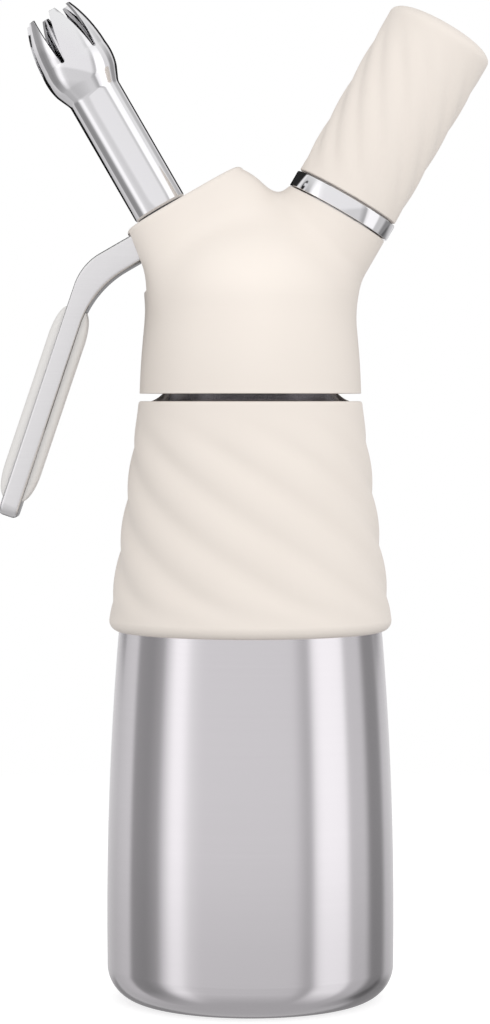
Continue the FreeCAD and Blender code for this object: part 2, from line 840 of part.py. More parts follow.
def handle_frame():
    """Where the lever's bend ends: X runs down the handle and Z points inwards through it."""
    start = Vector(value(BEND_END_ACROSS), 0, value(BEND_END_UP))
    return NOZZLE_FRAME.multiply(Placement(start, Rotation(Vector(0, 1, 0), 180 - value("bend_angle"))))


def make_lever():
    """The cast lever: a fork round the valve stem, a root through the slot, a bend and a handle."""
    tip_across = BEND_END_ACROSS + " - handle_length * cos(bend_angle)"
    tip_up = BEND_END_UP + " - handle_length * sin(bend_angle)"
    bar = padded("lever", [
        ("pin_reach", PIN_HEIGHT + " + eye_radius"),
        ("0 - root_shoulder", "fork_top"),
        ("0 - root_shoulder", "root_top"),
        ("0 - bend_start", "root_top", "bend_outer_arc"),
        (BEND_END_ACROSS, BEND_END_UP),
        (tip_across, tip_up, "handle_end_arc"),
        (tip_across + " + handle_end * sin(bend_angle)", tip_up + " - handle_end * cos(bend_angle)"),
        ("0 - bend_inner_start - bend_inner_arc * sin(bend_angle)",
         "root_foot - bend_inner_arc * (1 - cos(bend_angle))", "-bend_inner_arc"),
        ("0 - bend_inner_start", "root_foot"),
        ("0 - root_reach", "root_foot"),
        ("0 - fork_root", "fork_foot"),
        ("0 - nose_reach", "fork_foot", "nose_reach + nose_sag"),
        ("nose_reach", "fork_foot"),
        ("pin_reach", PIN_HEIGHT + " - eye_radius", "eye_radius"),
        ("pin_reach + eye_radius", PIN_HEIGHT, "eye_radius"),
    ], "handle_width", NOZZLE_FRAME)
    gap = doc.addObject("Part::Box", "ForkGap")
    gap.setExpression("Length", linked("fork_reach + pin_reach + 2 * eye_radius"))
    gap.setExpression("Width", linked("fork_gap"))
    gap.setExpression("Height", linked("4 * eye_radius"))
    corner = Vector(-value("fork_reach"), -value("fork_gap / 2"), value(PIN_HEIGHT + " - 2 * eye_radius"))
    gap.Placement = NOZZLE_FRAME.multiply(Placement(corner, Rotation()))
    eye = pin_cylinder("LeverEye", "pin_radius + running_gap", "2 * pin_front + handle_width")
    window = doc.addObject("Part::Box", "HandleWindow")
    window.setExpression("Length", linked("pad_length"))
    window.setExpression("Width", linked("pad_width"))
    window.setExpression("Height", linked("3 * handle_thickness"))
    corner = Vector(value("pad_start"), -value("pad_width / 2"), -value("handle_thickness"))
    window.Placement = handle_frame().multiply(Placement(corner, Rotation()))
    keep(cut("Lever", bar, [gap, eye, window]), "lever")
    pin = pin_cylinder("LeverPin", "pin_radius", "pin_front + pin_back")
    keep(pin, "lever_pin")


def make_lever_pad():
    """The soft pad that fills the handle's window and stands proud of both its faces."""
    rise = "(pad_proud + pad_sink)"
    ramp = f"(pad_ramp * pad_ramp + {rise} * {rise}) / (2 * {rise})"
    inner = "handle_thickness + pad_proud"
    pad = padded("lever_pad", [
        ("pad_start", "pad_sink", ramp),
        ("pad_start + pad_ramp", "0 - pad_proud"),
        ("pad_start + pad_length - pad_ramp", "0 - pad_proud", ramp),
        ("pad_start + pad_length", "pad_sink"),
        ("pad_start + pad_length", "handle_thickness - pad_sink", ramp),
        ("pad_start + pad_length - pad_ramp", inner),
        ("pad_start + pad_ramp", inner, ramp),
        ("pad_start", "handle_thickness - pad_sink"),
    ], "pad_width", handle_frame())
    keep(pad, "lever_pad")


# ----------------------------------------------------------------------------- charging side


def make_nipple():
    """The threaded nipple in the charger boss, its pin, seals and the check valve under it."""
    ring_floor = "nipple_radius - 2 * ring_section"
    ring_middle = "nipple_foot + nipple_ring_height"
    keep(revolved("nipple", [
        ("piercer_bore + 1", "nipple_foot"),
        ("nipple_radius", "nipple_foot"),
        ("nipple_radius", ring_middle + " - ring_section"),
        (ring_floor, ring_middle + " - ring_section"),
        (ring_floor, ring_middle + " + ring_section"),
        ("nipple_radius", ring_middle + " + ring_section"),
        ("nipple_radius", "nipple_shelf"),
        ("nipple_thread", "nipple_shelf"),
        ("nipple_thread", "nipple_top"),
        ("holder_bore", "nipple_top"),
        ("holder_bore", "nipple_top - nipple_wall"),
        ("mouth_bore", CARTRIDGE_FOOT + " + cartridge_neck_length - nipple_wall"),
        ("mouth_bore", "piercer_shoulder"),
        ("piercer_radius", "piercer_shoulder"),
        ("piercer_radius", "piercer_foot"),
        ("piercer_bore + 1", "piercer_foot"),
    ], CHARGER_FRAME), "charger_nipple")
    keep(seal_ring("NippleRing", f"({ring_floor})", ring_middle, CHARGER_FRAME), "nipple_o_ring")
    keep(revolved("piercer", [
        ("piercer_bore", "piercer_foot"),
        ("piercer_radius", "piercer_foot"),
        ("piercer_radius", "piercer_shoulder"),
        ("piercer_tip_radius", "piercer_shoulder"),
        ("piercer_tip_radius", "piercer_point - piercer_tip_radius"),
        ("piercer_bore", "piercer_point"),
    ], CHARGER_FRAME), "piercing_pin")
    keep(tube("mouth_seal", "mouth_bore", "mouth_seal_inner", "piercer_shoulder",
              "mouth_seal_thickness", CHARGER_FRAME), "charger_seal")
    keep(revolved("check", [
        ("piercer_bore", "check_foot"),
        ("check_bill", "check_foot"),
        ("check_radius / 2", "nipple_foot - check_disc"),
        ("check_radius", "nipple_foot - check_disc"),
        ("check_radius", "nipple_foot"),
        ("piercer_bore", "nipple_foot"),
    ], CHARGER_FRAME), "check_valve")


def make_charger():
    """The gas cartridge: a small steel bottle that stands neck down on the piercing pin."""
    neck_top = CARTRIDGE_FOOT + " + cartridge_neck_length"
    shoulder_top = neck_top + " + cartridge_shoulder"
    keep(revolved("charger", [
        ("cartridge_mouth", CARTRIDGE_FOOT),
        ("cartridge_neck", CARTRIDGE_FOOT),
        ("cartridge_neck", neck_top, "-cartridge_shoulder_arc"),
        ("cartridge_radius", shoulder_top),
        ("cartridge_radius", CARTRIDGE_END + " - cartridge_end", "cartridge_end"),
        ("cartridge_radius - cartridge_end", CARTRIDGE_END),
        ("0", CARTRIDGE_END),
        ("0", CARTRIDGE_END + " - cartridge_wall"),
        ("cartridge_radius - cartridge_end", CARTRIDGE_END + " - cartridge_wall"),
        ("cartridge_radius - cartridge_wall", CARTRIDGE_END + " - cartridge_end"),
        ("cartridge_radius - cartridge_wall", shoulder_top),
        ("cartridge_mouth", neck_top),
    ], CHARGER_FRAME), "gas_charger")


def make_holder():
    """The metal cup that screws over the cartridge: bell and polished ring below, sleeve above."""
    outside = [
        ("nipple_thread + thread_gap", HOLDER_FOOT),
        ("holder_ring_radius", HOLDER_FOOT),
        ("holder_ring_radius", HOLDER_RING_TOP),
        ("holder_bell_radius", HOLDER_RING_TOP),
        ("holder_bell_radius", HOLDER_BELL_TOP),
        ("holder_bore + holder_wall", HOLDER_BELL_TOP + " + holder_wall"),
        ("holder_bore + holder_wall", HOLDER_END),
        ("0", HOLDER_END),
    ]
    inside = [
        ("0", CARTRIDGE_END + " + holder_gap"),
        ("holder_bore", CARTRIDGE_END + " + holder_gap"),
        ("holder_bore", "nipple_top + holder_gap + holder_wall"),
        ("nipple_thread + thread_gap", "nipple_top + holder_gap"),
    ]
    holder = revolved("holder", outside + inside, CHARGER_FRAME)
    keep(holder, "holder_sleeve")
    form = revolved("holder_form", outside + [("0", HOLDER_FOOT)])
    return form


def make_holder_grip(holder_form):
    """The holder's soft grip: the same spiral wave as the bottle's sleeve, closed by a dome."""
    grip = doc.addObject("Part::Feature", "HolderGrip")
    grip.Shape = wavy_grip("grip", grip_levels()).cut(holder_form.Shape)
    grip.Placement = CHARGER_FRAME
    keep(grip, "holder_grip")


# ------------------------------------------------------------------------------ whole object


def faults():
    """Objects that failed to compute, and sub-parts without a sound solid."""
    bad = [item.Name for item in doc.Objects if {"Invalid", "Error"} & set(item.State)]
    for solid in SOLIDS:
        shape = solid.Shape
        if shape.isNull() or not shape.isValid() or len(shape.Solids) != 1 or shape.Volume <= 0:
            bad.append(solid.Label)
    return bad


def main():
    """Builds every sub-part, checks it and writes one STEP file for each."""
    bottle, bottle_form = make_bottle()
    doc.recompute()
    make_bottle_sleeve(bottle_form)
    make_head_shell()
    make_neck_fittings()
    make_adapter()
    make_valve()
    make_valve_spring()
    make_tip()
    make_lever()
    make_lever_pad()
    make_nipple()
    make_charger()
    holder_form = make_holder()
    doc.recompute()
    make_holder_grip(holder_form)
    doc.recompute()
    bad = faults()
    if bad:
        raise RuntimeError("these did not build: " + ", ".join(bad))
    os.makedirs("parts", exist_ok=True)
    for solid in SOLIDS:
        solid.Shape.exportStep(f"parts/{solid.Label}.step")
        print(f"{solid.Label}: {len(solid.Shape.Solids)} solid, {solid.Shape.Volume / 1000:.2f} cm3")


main()
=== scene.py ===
"""Looks of a cream whipper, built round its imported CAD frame.

Sizes are in millimetres and become metres when a mesh is made. +Z is up, the lever points to -X and
the charger holder to +X. Every shape is a grid of points worked out as whole numpy arrays.
"""

from __future__ import annotations

import logging
import math
from dataclasses import dataclass
from enum import Enum
from typing import Sequence

import bmesh
import bpy
import numpy as np
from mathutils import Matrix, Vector

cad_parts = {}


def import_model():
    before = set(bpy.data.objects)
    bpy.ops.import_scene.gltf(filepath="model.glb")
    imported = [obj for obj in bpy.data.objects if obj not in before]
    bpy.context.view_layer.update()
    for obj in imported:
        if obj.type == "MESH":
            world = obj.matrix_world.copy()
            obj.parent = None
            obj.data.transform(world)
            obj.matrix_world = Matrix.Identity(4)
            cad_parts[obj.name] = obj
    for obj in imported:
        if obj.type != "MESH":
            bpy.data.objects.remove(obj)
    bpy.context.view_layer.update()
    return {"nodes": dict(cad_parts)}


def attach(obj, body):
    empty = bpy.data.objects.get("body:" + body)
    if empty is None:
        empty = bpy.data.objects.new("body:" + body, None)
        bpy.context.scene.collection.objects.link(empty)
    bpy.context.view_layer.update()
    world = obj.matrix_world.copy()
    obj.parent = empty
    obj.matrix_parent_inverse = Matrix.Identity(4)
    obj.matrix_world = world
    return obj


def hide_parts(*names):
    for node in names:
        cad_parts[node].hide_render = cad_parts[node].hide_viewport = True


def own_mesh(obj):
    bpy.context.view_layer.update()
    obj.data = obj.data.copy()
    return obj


LOG = logging.getLogger("cream_whipper")
MM = 0.001
Array = np.ndarray
Corner = tuple[float, ...]
Corners = tuple[Corner, ...]
Spot = tuple[float, float, float]
Tint = tuple[float, float, float, float]
Socket = bpy.types.NodeSocket


# ------------------------------------------------------------------------------------------ places


@dataclass(frozen=True)
class Place:
    """A local frame in the plane y = 0. Its X and Z are turned about Y and its origin is moved.

    across and up are the origin in mm, lean is the turn in degrees, positive towards +X.
    """

    across: float = 0.0
    up: float = 0.0
    lean: float = 0.0

    def put(self, points: Array) -> Array:
        """Moves local points into the whole object's frame.

        x = across + u cos(lean) + w sin(lean), z = up - u sin(lean) + w cos(lean).

        Args:
            points: an array whose last axis is (u, y, w) in mm.

        Returns:
            An array of the same form with (x, y, z) in mm.
        """
        turn = math.radians(self.lean)
        placed = np.array(points, float)
        placed[..., 0] = self.across + points[..., 0] * math.cos(turn) + points[..., 2] * math.sin(turn)
        placed[..., 2] = self.up - points[..., 0] * math.sin(turn) + points[..., 2] * math.cos(turn)
        return placed

    def local(self, points: Array) -> Array:
        """The way back: (x, y, z) in mm to the local (u, y, w)."""
        turn = math.radians(self.lean)
        x, z = points[..., 0] - self.across, points[..., 2] - self.up
        found = np.array(points, float)
        found[..., 0] = x * math.cos(turn) - z * math.sin(turn)
        found[..., 2] = x * math.sin(turn) + z * math.cos(turn)
        return found

    def direction(self, u: float, w: float) -> tuple[float, float, float]:
        """A local direction in the whole object's frame."""
        turn = math.radians(self.lean)
        return (u * math.cos(turn) + w * math.sin(turn), 0.0, w * math.cos(turn) - u * math.sin(turn))

    def inner(self, across: float, up: float, lean: float) -> Place:
        """A frame given in this one's own measures."""
        x, _, z = self.put(np.array([across, 0.0, up]))
        return Place(float(x), float(z), self.lean + lean)


AXES_HEIGHT = 177.3
UPRIGHT = Place()
NOZZLE = Place(up=AXES_HEIGHT, lean=-30.0)
CHARGER = Place(up=AXES_HEIGHT, lean=30.0)


# ------------------------------------------------------------------------------ outlines and skins


def arc_points(start: Array, end: Array, bend: float, step: float) -> Array:
    """Points along an arc, without its end.

    The centre lies on the chord's middle line; the arc turns left for a positive radius.

    Args:
        start, end: the arc's ends, (across, up).
        bend: its radius, minus where it turns right.
        step: the largest turn between two points, in degrees.

    Returns:
        An array of (across, up).
    """
    chord = end - start
    half = np.linalg.norm(chord) / 2
    radius = max(abs(bend), half * 1.0001)
    sign = math.copysign(1.0, bend)
    right = np.array([chord[1], -chord[0]]) / (2 * half)
    centre = (start + end) / 2 - right * sign * math.sqrt(radius**2 - half**2)
    sweep = sign * 2 * math.asin(half / radius)
    first = math.atan2(*(start - centre)[::-1])
    count = max(2, math.ceil(abs(math.degrees(sweep)) / step))
    angles = first + sweep * np.arange(count) / count
    return centre + radius * np.stack([np.cos(angles), np.sin(angles)], axis=-1)


def outline(corners: Sequence[Corner], closed: bool = False, step: float = 5.0) -> Array:
    """Points along straight runs and arcs.

    Args:
        corners: (across, up), or (across, up, radius) where an arc leads to the next corner.
        closed: whether the last corner leads back to the first.
        step: the largest turn between two points of an arc, in degrees.

    Returns:
        An array of (across, up).
    """
    points = [np.array(corner[:2], float) for corner in corners]
    parts = []
    for index, corner in enumerate(corners):
        following = points[(index + 1) % len(points)]
        leads_on = closed or index + 1 < len(points)
        if leads_on and len(corner) > 2:
            parts.append(arc_points(points[index], following, corner[2], step))
        else:
            parts.append(points[index][None])
    return np.concatenate(parts)


def softened(points: Array, edge: float, steps: int = 3, least: float = 25.0) -> Array:
    """Rounds the sharp corners between the two ends of an outline.

    Each corner P gives way to the curve (1-s)^2 A + 2s(1-s) P + s^2 B, with A and B on the runs
    beside it, one edge length away or less than half a run.

    Args:
        points: (across, up) along the outline.
        edge: how far from the corner the rounding starts.
        steps: how many runs the rounding has.
        least: the smallest turn that counts as a corner, in degrees.

    Returns:
        The outline with its rounded corners.
    """
    before, after = np.roll(points, 1, axis=0) - points, np.roll(points, -1, axis=0) - points
    reach_before, reach_after = np.linalg.norm(before, axis=1), np.linalg.norm(after, axis=1)
    straight = (before * after).sum(axis=1) / np.maximum(reach_before * reach_after, 1e-9)
    sharp = straight > -math.cos(math.radians(least))
    sharp[[0, -1]] = False
    share = np.linspace(0.0, 1.0, steps + 1)[:, None]
    parts = []
    for index, point in enumerate(points):
        if not sharp[index]:
            parts.append(point[None])
            continue
        first = point + before[index] * min(edge / reach_before[index], 0.45)
        last = point + after[index] * min(edge / reach_after[index], 0.45)
        parts.append((1 - share) ** 2 * first + 2 * share * (1 - share) * point + share**2 * last)
    return np.concatenate(parts)


def smooth_step(share: Array) -> Array:
    """Rises from 0 to 1 without a kink: 3s^2 - 2s^3."""
    share = np.clip(share, 0.0, 1.0)
    return share * share * (3 - 2 * share)


def quarter(count: int) -> Array:
    """Angles from 0 to 90 degrees, in radians."""
    return np.radians(np.linspace(0.0, 90.0, count))


def round_angles(count: int) -> Array:
    """Even angles round a whole turn, in radians."""
    return 2 * np.pi * np.arange(count) / count


class Wrap(Enum):
    """Which ways round a grid of points closes on itself."""

    NONE = (False, False)
    COLUMNS = (False, True)
    ROWS = (True, False)
    BOTH = (True, True)


@dataclass
class Skin:
    """Points in mm, (n, 3), and the faces between them as lists of point numbers."""

    points: Array
    faces: list[list[int]]

    @staticmethod
    def grid(points: Array, wrap: Wrap = Wrap.COLUMNS) -> Skin:
        """Four-cornered faces over a grid of points, (rows, columns, 3)."""
        rows, columns = points.shape[:2]
        wrap_rows, wrap_columns = wrap.value
        row = np.arange(rows if wrap_rows else rows - 1)[:, None]
        column = np.arange(columns if wrap_columns else columns - 1)[None]
        next_row, next_column = (row + 1) % rows, (column + 1) % columns
        corners = [row * columns + column, row * columns + next_column,
                   next_row * columns + next_column, next_row * columns + column]
        faces = np.stack(np.broadcast_arrays(*corners), axis=-1).reshape(-1, 4)
        return Skin(points.reshape(-1, 3), faces.tolist())

    @staticmethod
    def turned(profile: Sequence[Corner], segments: int, closed: bool = False) -> Skin:
        """A profile (radius, height) carried round Z. Its own two ends meet where it is closed."""
        return Skin.grid(rings_of(profile, segments), Wrap.BOTH if closed else Wrap.COLUMNS)

    @staticmethod
    def capped(rings: Array) -> Skin:
        """A grid of rings with both ends filled by one face."""
        skin = Skin.grid(rings)
        count = rings.shape[1]
        last = len(skin.points) - count
        skin.faces.append(list(range(count))[::-1])
        skin.faces.append(list(range(last, last + count)))
        return skin

    @staticmethod
    def prism(side: Sequence[Corner], low: float, high: float) -> Skin:
        """A closed side outline (u, w) carried along Y from low to high."""
        u, w = np.asarray(side, float).T
        return Skin.capped(np.stack([np.stack([u, np.full_like(u, y), w], axis=-1) for y in (low, high)]))


def ring_stack(radii: Array, heights: Array, segments: int) -> Array:
    """Rings of points round Z: x = r cos a, y = r sin a, z = height.

    Radii and heights broadcast to (rings, segments).
    """
    radii, heights, angle = np.broadcast_arrays(radii, heights, round_angles(segments)[None])
    return np.stack([radii * np.cos(angle), radii * np.sin(angle), heights], axis=-1)


def rings_of(profile: Sequence[Corner], segments: int) -> Array:
    """A profile (radius, height) as rings of points round Z."""
    profile = np.asarray(profile, float)
    return ring_stack(profile[:, :1], profile[:, 1:], segments)


def finish_mesh(piece: bpy.types.Object, sharp: float) -> None:
    """Shades a piece smooth, with its edges sharp where faces meet at more than the angle."""
    mesh = piece.data
    mesh.polygons.foreach_set("use_smooth", np.ones(len(mesh.polygons), bool))
    mesh.set_sharp_from_angle(angle=math.radians(sharp))
    mesh.update()


def link_object(name: str, data: bpy.types.ID) -> bpy.types.Object:
    """A new object in the scene."""
    thing = bpy.data.objects.new(name, data)
    bpy.context.scene.collection.objects.link(thing)
    return thing


def make_piece(name: str, skins: Sequence[Skin], place: Place = UPRIGHT,
               sharp: float = 32.0) -> bpy.types.Object:
    """Makes one mesh object of one or more skins. Points that meet are merged and faces point out.

    Args:
        name: the piece's name.
        skins: its surfaces, in the place's own measures.
        place: the frame that they are given in.
        sharp: the angle between faces past which an edge stays crisp, in degrees.

    Returns:
        The new object, at the origin.
    """
    points, faces, first = [], [], 0
    for skin in skins:
        points.append(skin.points)
        faces += [[number + first for number in face] for face in skin.faces]
        first += len(skin.points)
    mesh = bpy.data.meshes.new(name)
    mesh.from_pydata((place.put(np.concatenate(points)) * MM).tolist(), [], faces)
    work = bmesh.new()
    work.from_mesh(mesh)
    bmesh.ops.remove_doubles(work, verts=work.verts, dist=1e-6)
    bmesh.ops.dissolve_degenerate(work, edges=work.edges, dist=1e-7)
    bmesh.ops.recalc_face_normals(work, faces=work.faces)
    work.to_mesh(mesh)
    work.free()
    piece = link_object(name, mesh)
    finish_mesh(piece, sharp)
    return piece


def bored(piece: bpy.types.Object, cutters: Sequence[bpy.types.Object], sharp: float = 32.0) -> None:
    """Takes every cutter out of a piece and deletes the cutters."""
    for cutter in cutters:
        hole = piece.modifiers.new(cutter.name, "BOOLEAN")
        hole.operation = "DIFFERENCE"
        hole.solver = "EXACT"
        hole.object = cutter
    bpy.context.view_layer.update()
    seen = piece.evaluated_get(bpy.context.evaluated_depsgraph_get())
    cut_mesh = bpy.data.meshes.new_from_object(seen)
    piece.modifiers.clear()
    piece.data = cut_mesh
    piece.data.name = piece.name
    for cutter in cutters:
        bpy.data.objects.remove(cutter)
    finish_mesh(piece, sharp)


# ---------------------------------------------------------------------------------------- finishes


class Nodes:
    """A small hand for building a node tree."""

    def __init__(self, tree: bpy.types.NodeTree) -> None:
        """Keeps the tree that the nodes go in."""
        self.tree = tree

    def add(self, kind: str, **settings: object) -> bpy.types.Node:
        """Adds a node and sets its own properties."""
        node = self.tree.nodes.new(kind)
        for name, setting in settings.items():
            setattr(node, name, setting)
        return node

    def put(self, socket: Socket, value: object) -> None:
        """Links a socket where the value is one too, and sets it otherwise."""
        if isinstance(value, bpy.types.NodeSocket):
            self.tree.links.new(value, socket)
        else:
            socket.default_value = value

    def feed(self, node: bpy.types.Node, **values: object) -> bpy.types.Node:
        """Puts values into inputs by name. A name's underscores stand for spaces."""
        for name, value in values.items():
            self.put(node.inputs[name.replace("_", " ")], value)
        return node

    def noise(self, where: Socket, scale: object, detail: float = 3.0) -> Socket:
        """A cloud pattern from 0 to 1."""
        node = self.add("ShaderNodeTexNoise")
        return self.feed(node, Vector=where, Scale=scale, Detail=detail).outputs["Fac"]

    def ranged(self, value: Socket, low: float, high: float, to_low: float = 0.0,
               to_high: float = 1.0) -> Socket:
        """Carries low..high over to to_low..to_high."""
        node = self.feed(self.add("ShaderNodeMapRange"), Value=value, From_Min=low, From_Max=high,
                         To_Min=to_low, To_Max=to_high)
        return node.outputs["Result"]

    def math(self, operation: str, first: object, second: object = 0.0) -> Socket:
        """One sum."""
        node = self.add("ShaderNodeMath", operation=operation)
        self.put(node.inputs[0], first)
        self.put(node.inputs[1], second)
        return node.outputs["Value"]

    def mixed(self, share: object, first: object, second: object) -> Socket:
        """A colour between two colours."""
        node = self.add("ShaderNodeMix", data_type="RGBA")
        for number, value in ((0, share), (6, first), (7, second)):
            self.put(node.inputs[number], value)
        return node.outputs[2]

    def swing(self, pattern: Socket, spread: object) -> Socket:
        """How far a pattern is from its middle, times the spread."""
        return self.math("MULTIPLY", self.math("SUBTRACT", pattern, 0.5), spread)

    def bump(self, height: Socket, strength: object, distance: float) -> Socket:
        """A normal that follows a height."""
        node = self.add("ShaderNodeBump")
        return self.feed(node, Strength=strength, Distance=distance, Height=height).outputs["Normal"]

    def background(self, colour: object, strength: object = 1.0) -> Socket:
        """Light that comes from the room."""
        node = self.add("ShaderNodeBackground")
        return self.feed(node, Color=colour, Strength=strength).outputs[0]

    def either(self, share: Socket, first: Socket, second: Socket) -> Socket:
        """The first shader where the share is 0, the second where it is 1."""
        node = self.add("ShaderNodeMixShader")
        for socket, value in zip(node.inputs, (share, first, second)):
            self.put(socket, value)
        return node.outputs[0]


def effect_group(name: str, **values: float) -> tuple[Nodes, bpy.types.NodeOutputs, bpy.types.Node]:
    """A shader group that makes a colour, a roughness and a normal of a place and a colour.

    Args:
        name: the group's name.
        values: its other inputs, all numbers, and what they are at the start.

    Returns:
        A hand for its nodes, the sockets that come in, and its output node.
    """
    group = bpy.data.node_groups.new(name, "ShaderNodeTree")
    for label, kind in (("Place", "Vector"), ("Colour", "Color")):
        group.interface.new_socket(label, in_out="INPUT", socket_type="NodeSocket" + kind)
    for label, value in values.items():
        number = group.interface.new_socket(label, in_out="INPUT", socket_type="NodeSocketFloat")
        number.default_value = value
    for label, kind in (("Colour", "Color"), ("Roughness", "Float"), ("Normal", "Vector")):
        group.interface.new_socket(label, in_out="OUTPUT", socket_type="NodeSocket" + kind)
    given = group.nodes.new("NodeGroupInput").outputs
    return Nodes(group), given, group.nodes.new("NodeGroupOutput")


WARM_DUST = (0.30, 0.24, 0.19, 1.0)
WORN_GREY = (0.35, 0.34, 0.35, 1.0)
LINE_STRETCH = (6.0, 6.0, 4200.0)


def skin_grain_group() -> None:
    """Moulded or soft skin: fine grain, a slow drift of tone and uneven sheen."""
    nodes, given, end = effect_group("skin_grain", Drift=0.03, Grain=2000.0, Depth=0.2, Roughness=0.5,
                                     Spread=0.06)
    slow = nodes.noise(given["Place"], 22.0, 2.0)
    dusty = nodes.mixed(given["Drift"], given["Colour"], WARM_DUST)
    tone = nodes.mixed(nodes.ranged(slow, 0.35, 0.65), dusty, given["Colour"])
    grain = nodes.noise(given["Place"], given["Grain"], 2.0)
    uneven = nodes.swing(nodes.noise(given["Place"], 60.0), given["Spread"])
    nodes.feed(end, Colour=tone, Roughness=nodes.math("ADD", given["Roughness"], uneven),
               Normal=nodes.bump(grain, given["Depth"], 0.00005))


def brushed_group() -> None:
    """Metal lines round the Z axis of the pattern, faint smudges and worn tone."""
    nodes, given, end = effect_group("brushed_lines", Lines=1.0, Depth=0.1, Roughness=0.2, Spread=0.08)
    stretch = nodes.add("ShaderNodeVectorMath", operation="MULTIPLY")
    nodes.put(stretch.inputs[0], given["Place"])
    nodes.put(stretch.inputs[1], LINE_STRETCH)
    lines = nodes.noise(stretch.outputs[0], 1.0)
    smudge = nodes.noise(given["Place"], 35.0, 4.0)
    rough = nodes.math("ADD", nodes.swing(lines, given["Spread"]), nodes.swing(smudge, given["Spread"]))
    share = nodes.math("MULTIPLY", nodes.ranged(lines, 0.3, 0.7, 0.0, 0.07), given["Lines"])
    tone = nodes.mixed(share, given["Colour"], WORN_GREY)
    nodes.feed(end, Colour=tone, Roughness=nodes.math("ADD", given["Roughness"], rough),
               Normal=nodes.bump(lines, given["Depth"], 0.00003))


def new_material(name: str) -> tuple[bpy.types.Material, Nodes, bpy.types.Node]:
    """A material, a hand for its nodes, and its Principled shader."""
    material = bpy.data.materials.new(name)
    material.use_nodes = True
    return material, Nodes(material.node_tree), material.node_tree.nodes["Principled BSDF"]


class Metalwork(Enum):
    """How a metal is worked: depth of its lines, roughness, spread of it, strength of the tone."""

    POLISHED = (0.02, 0.07, 0.03, 0.1)
    DRAWN = (0.10, 0.16, 0.05, 0.7)
    SATIN = (0.22, 0.30, 0.08, 0.6)
    TURNED = (0.25, 0.24, 0.10, 1.0)


@dataclass(frozen=True)
class Finish:
    """What every finish has: the material's name and its linear colour."""

    name: str
    colour: tuple[float, float, float]

    def material(self, group: str, gloss: dict[str, float], **effect_values: float) -> bpy.types.Material:
        """A new material whose Principled shader follows one group, read in object coordinates.

        Args:
            group: the group's name.
            gloss: the shader's own inputs by name.
            effect_values: the group's number inputs by name.

        Returns:
            The material.
        """
        material, nodes, shader = new_material(self.name)
        effect = nodes.add("ShaderNodeGroup", node_tree=bpy.data.node_groups[group])
        where = nodes.add("ShaderNodeTexCoord").outputs["Object"]
        nodes.feed(effect, Place=where, Colour=(*self.colour, 1.0), **effect_values)
        nodes.feed(shader, Base_Color=effect.outputs["Colour"], Roughness=effect.outputs["Roughness"],
                   Normal=effect.outputs["Normal"], **gloss)
        return material


@dataclass(frozen=True)
class SkinFinish(Finish):
    """Plastic, silicone or rubber: roughness, grain size (cells a metre) and its depth."""

    roughness: float = 0.5
    grain: float = 2200.0
    depth: float = 0.15
    drift: float = 0.04
    sheen: float = 0.0

    def build(self) -> bpy.types.Material:
        """The material itself."""
        return self.material("skin_grain", {"Sheen_Weight": self.sheen}, Drift=self.drift, Grain=self.grain,
                             Depth=self.depth, Roughness=self.roughness)


@dataclass(frozen=True)
class MetalFinish(Finish):
    """Metal of one way of working."""

    work: Metalwork = Metalwork.DRAWN

    def build(self) -> bpy.types.Material:
        """The material itself."""
        depth, roughness, spread, lines = self.work.value
        return self.material("brushed_lines", {"Metallic": 1.0}, Depth=depth, Roughness=roughness,
                             Spread=spread, Lines=lines)


CREAM = (0.84, 0.775, 0.715)
SOFT_CREAM = SkinFinish("soft_cream_grip", CREAM, roughness=0.62, grain=2600.0, depth=0.22, sheen=0.08)
CREAM_PLASTIC = SkinFinish("moulded_cream_plastic", CREAM, roughness=0.5, grain=1900.0, depth=0.12)
PAD_SILICONE = SkinFinish("pale_pad_silicone", (0.78, 0.765, 0.75), roughness=0.55, grain=2400.0, depth=0.2)
DARK_RUBBER = SkinFinish("dark_seal_rubber", (0.02, 0.02, 0.021), roughness=0.5, depth=0.1)
RED_SILICONE = SkinFinish("gasket_silicone", (0.6, 0.12, 0.08), roughness=0.45, depth=0.1)
BOTTLE_STEEL = MetalFinish("drawn_bottle_steel", (0.62, 0.605, 0.62), work=Metalwork.DRAWN)
POLISHED_STEEL = MetalFinish("polished_steel", (0.80, 0.80, 0.81), work=Metalwork.POLISHED)
LEVER_METAL = MetalFinish("satin_lever_metal", (0.78, 0.777, 0.78), work=Metalwork.SATIN)
# Painted shade: a near-black copy of the lever metal for the lever's underside, where shade falls.
LEVER_PAINTED_SHADE = MetalFinish("cast_lever_inner_side", (0.08, 0.079, 0.078), work=Metalwork.SATIN)
TURNED_STEEL = MetalFinish("turned_steel", (0.6, 0.6, 0.61), work=Metalwork.TURNED)
# Painted shade: near-black metal on the nozzle adapter, to show as the dark shadow line under the tip.
ADAPTER_PAINTED_SHADE = MetalFinish("dark_adapter_metal", (0.06, 0.06, 0.062), work=Metalwork.TURNED)


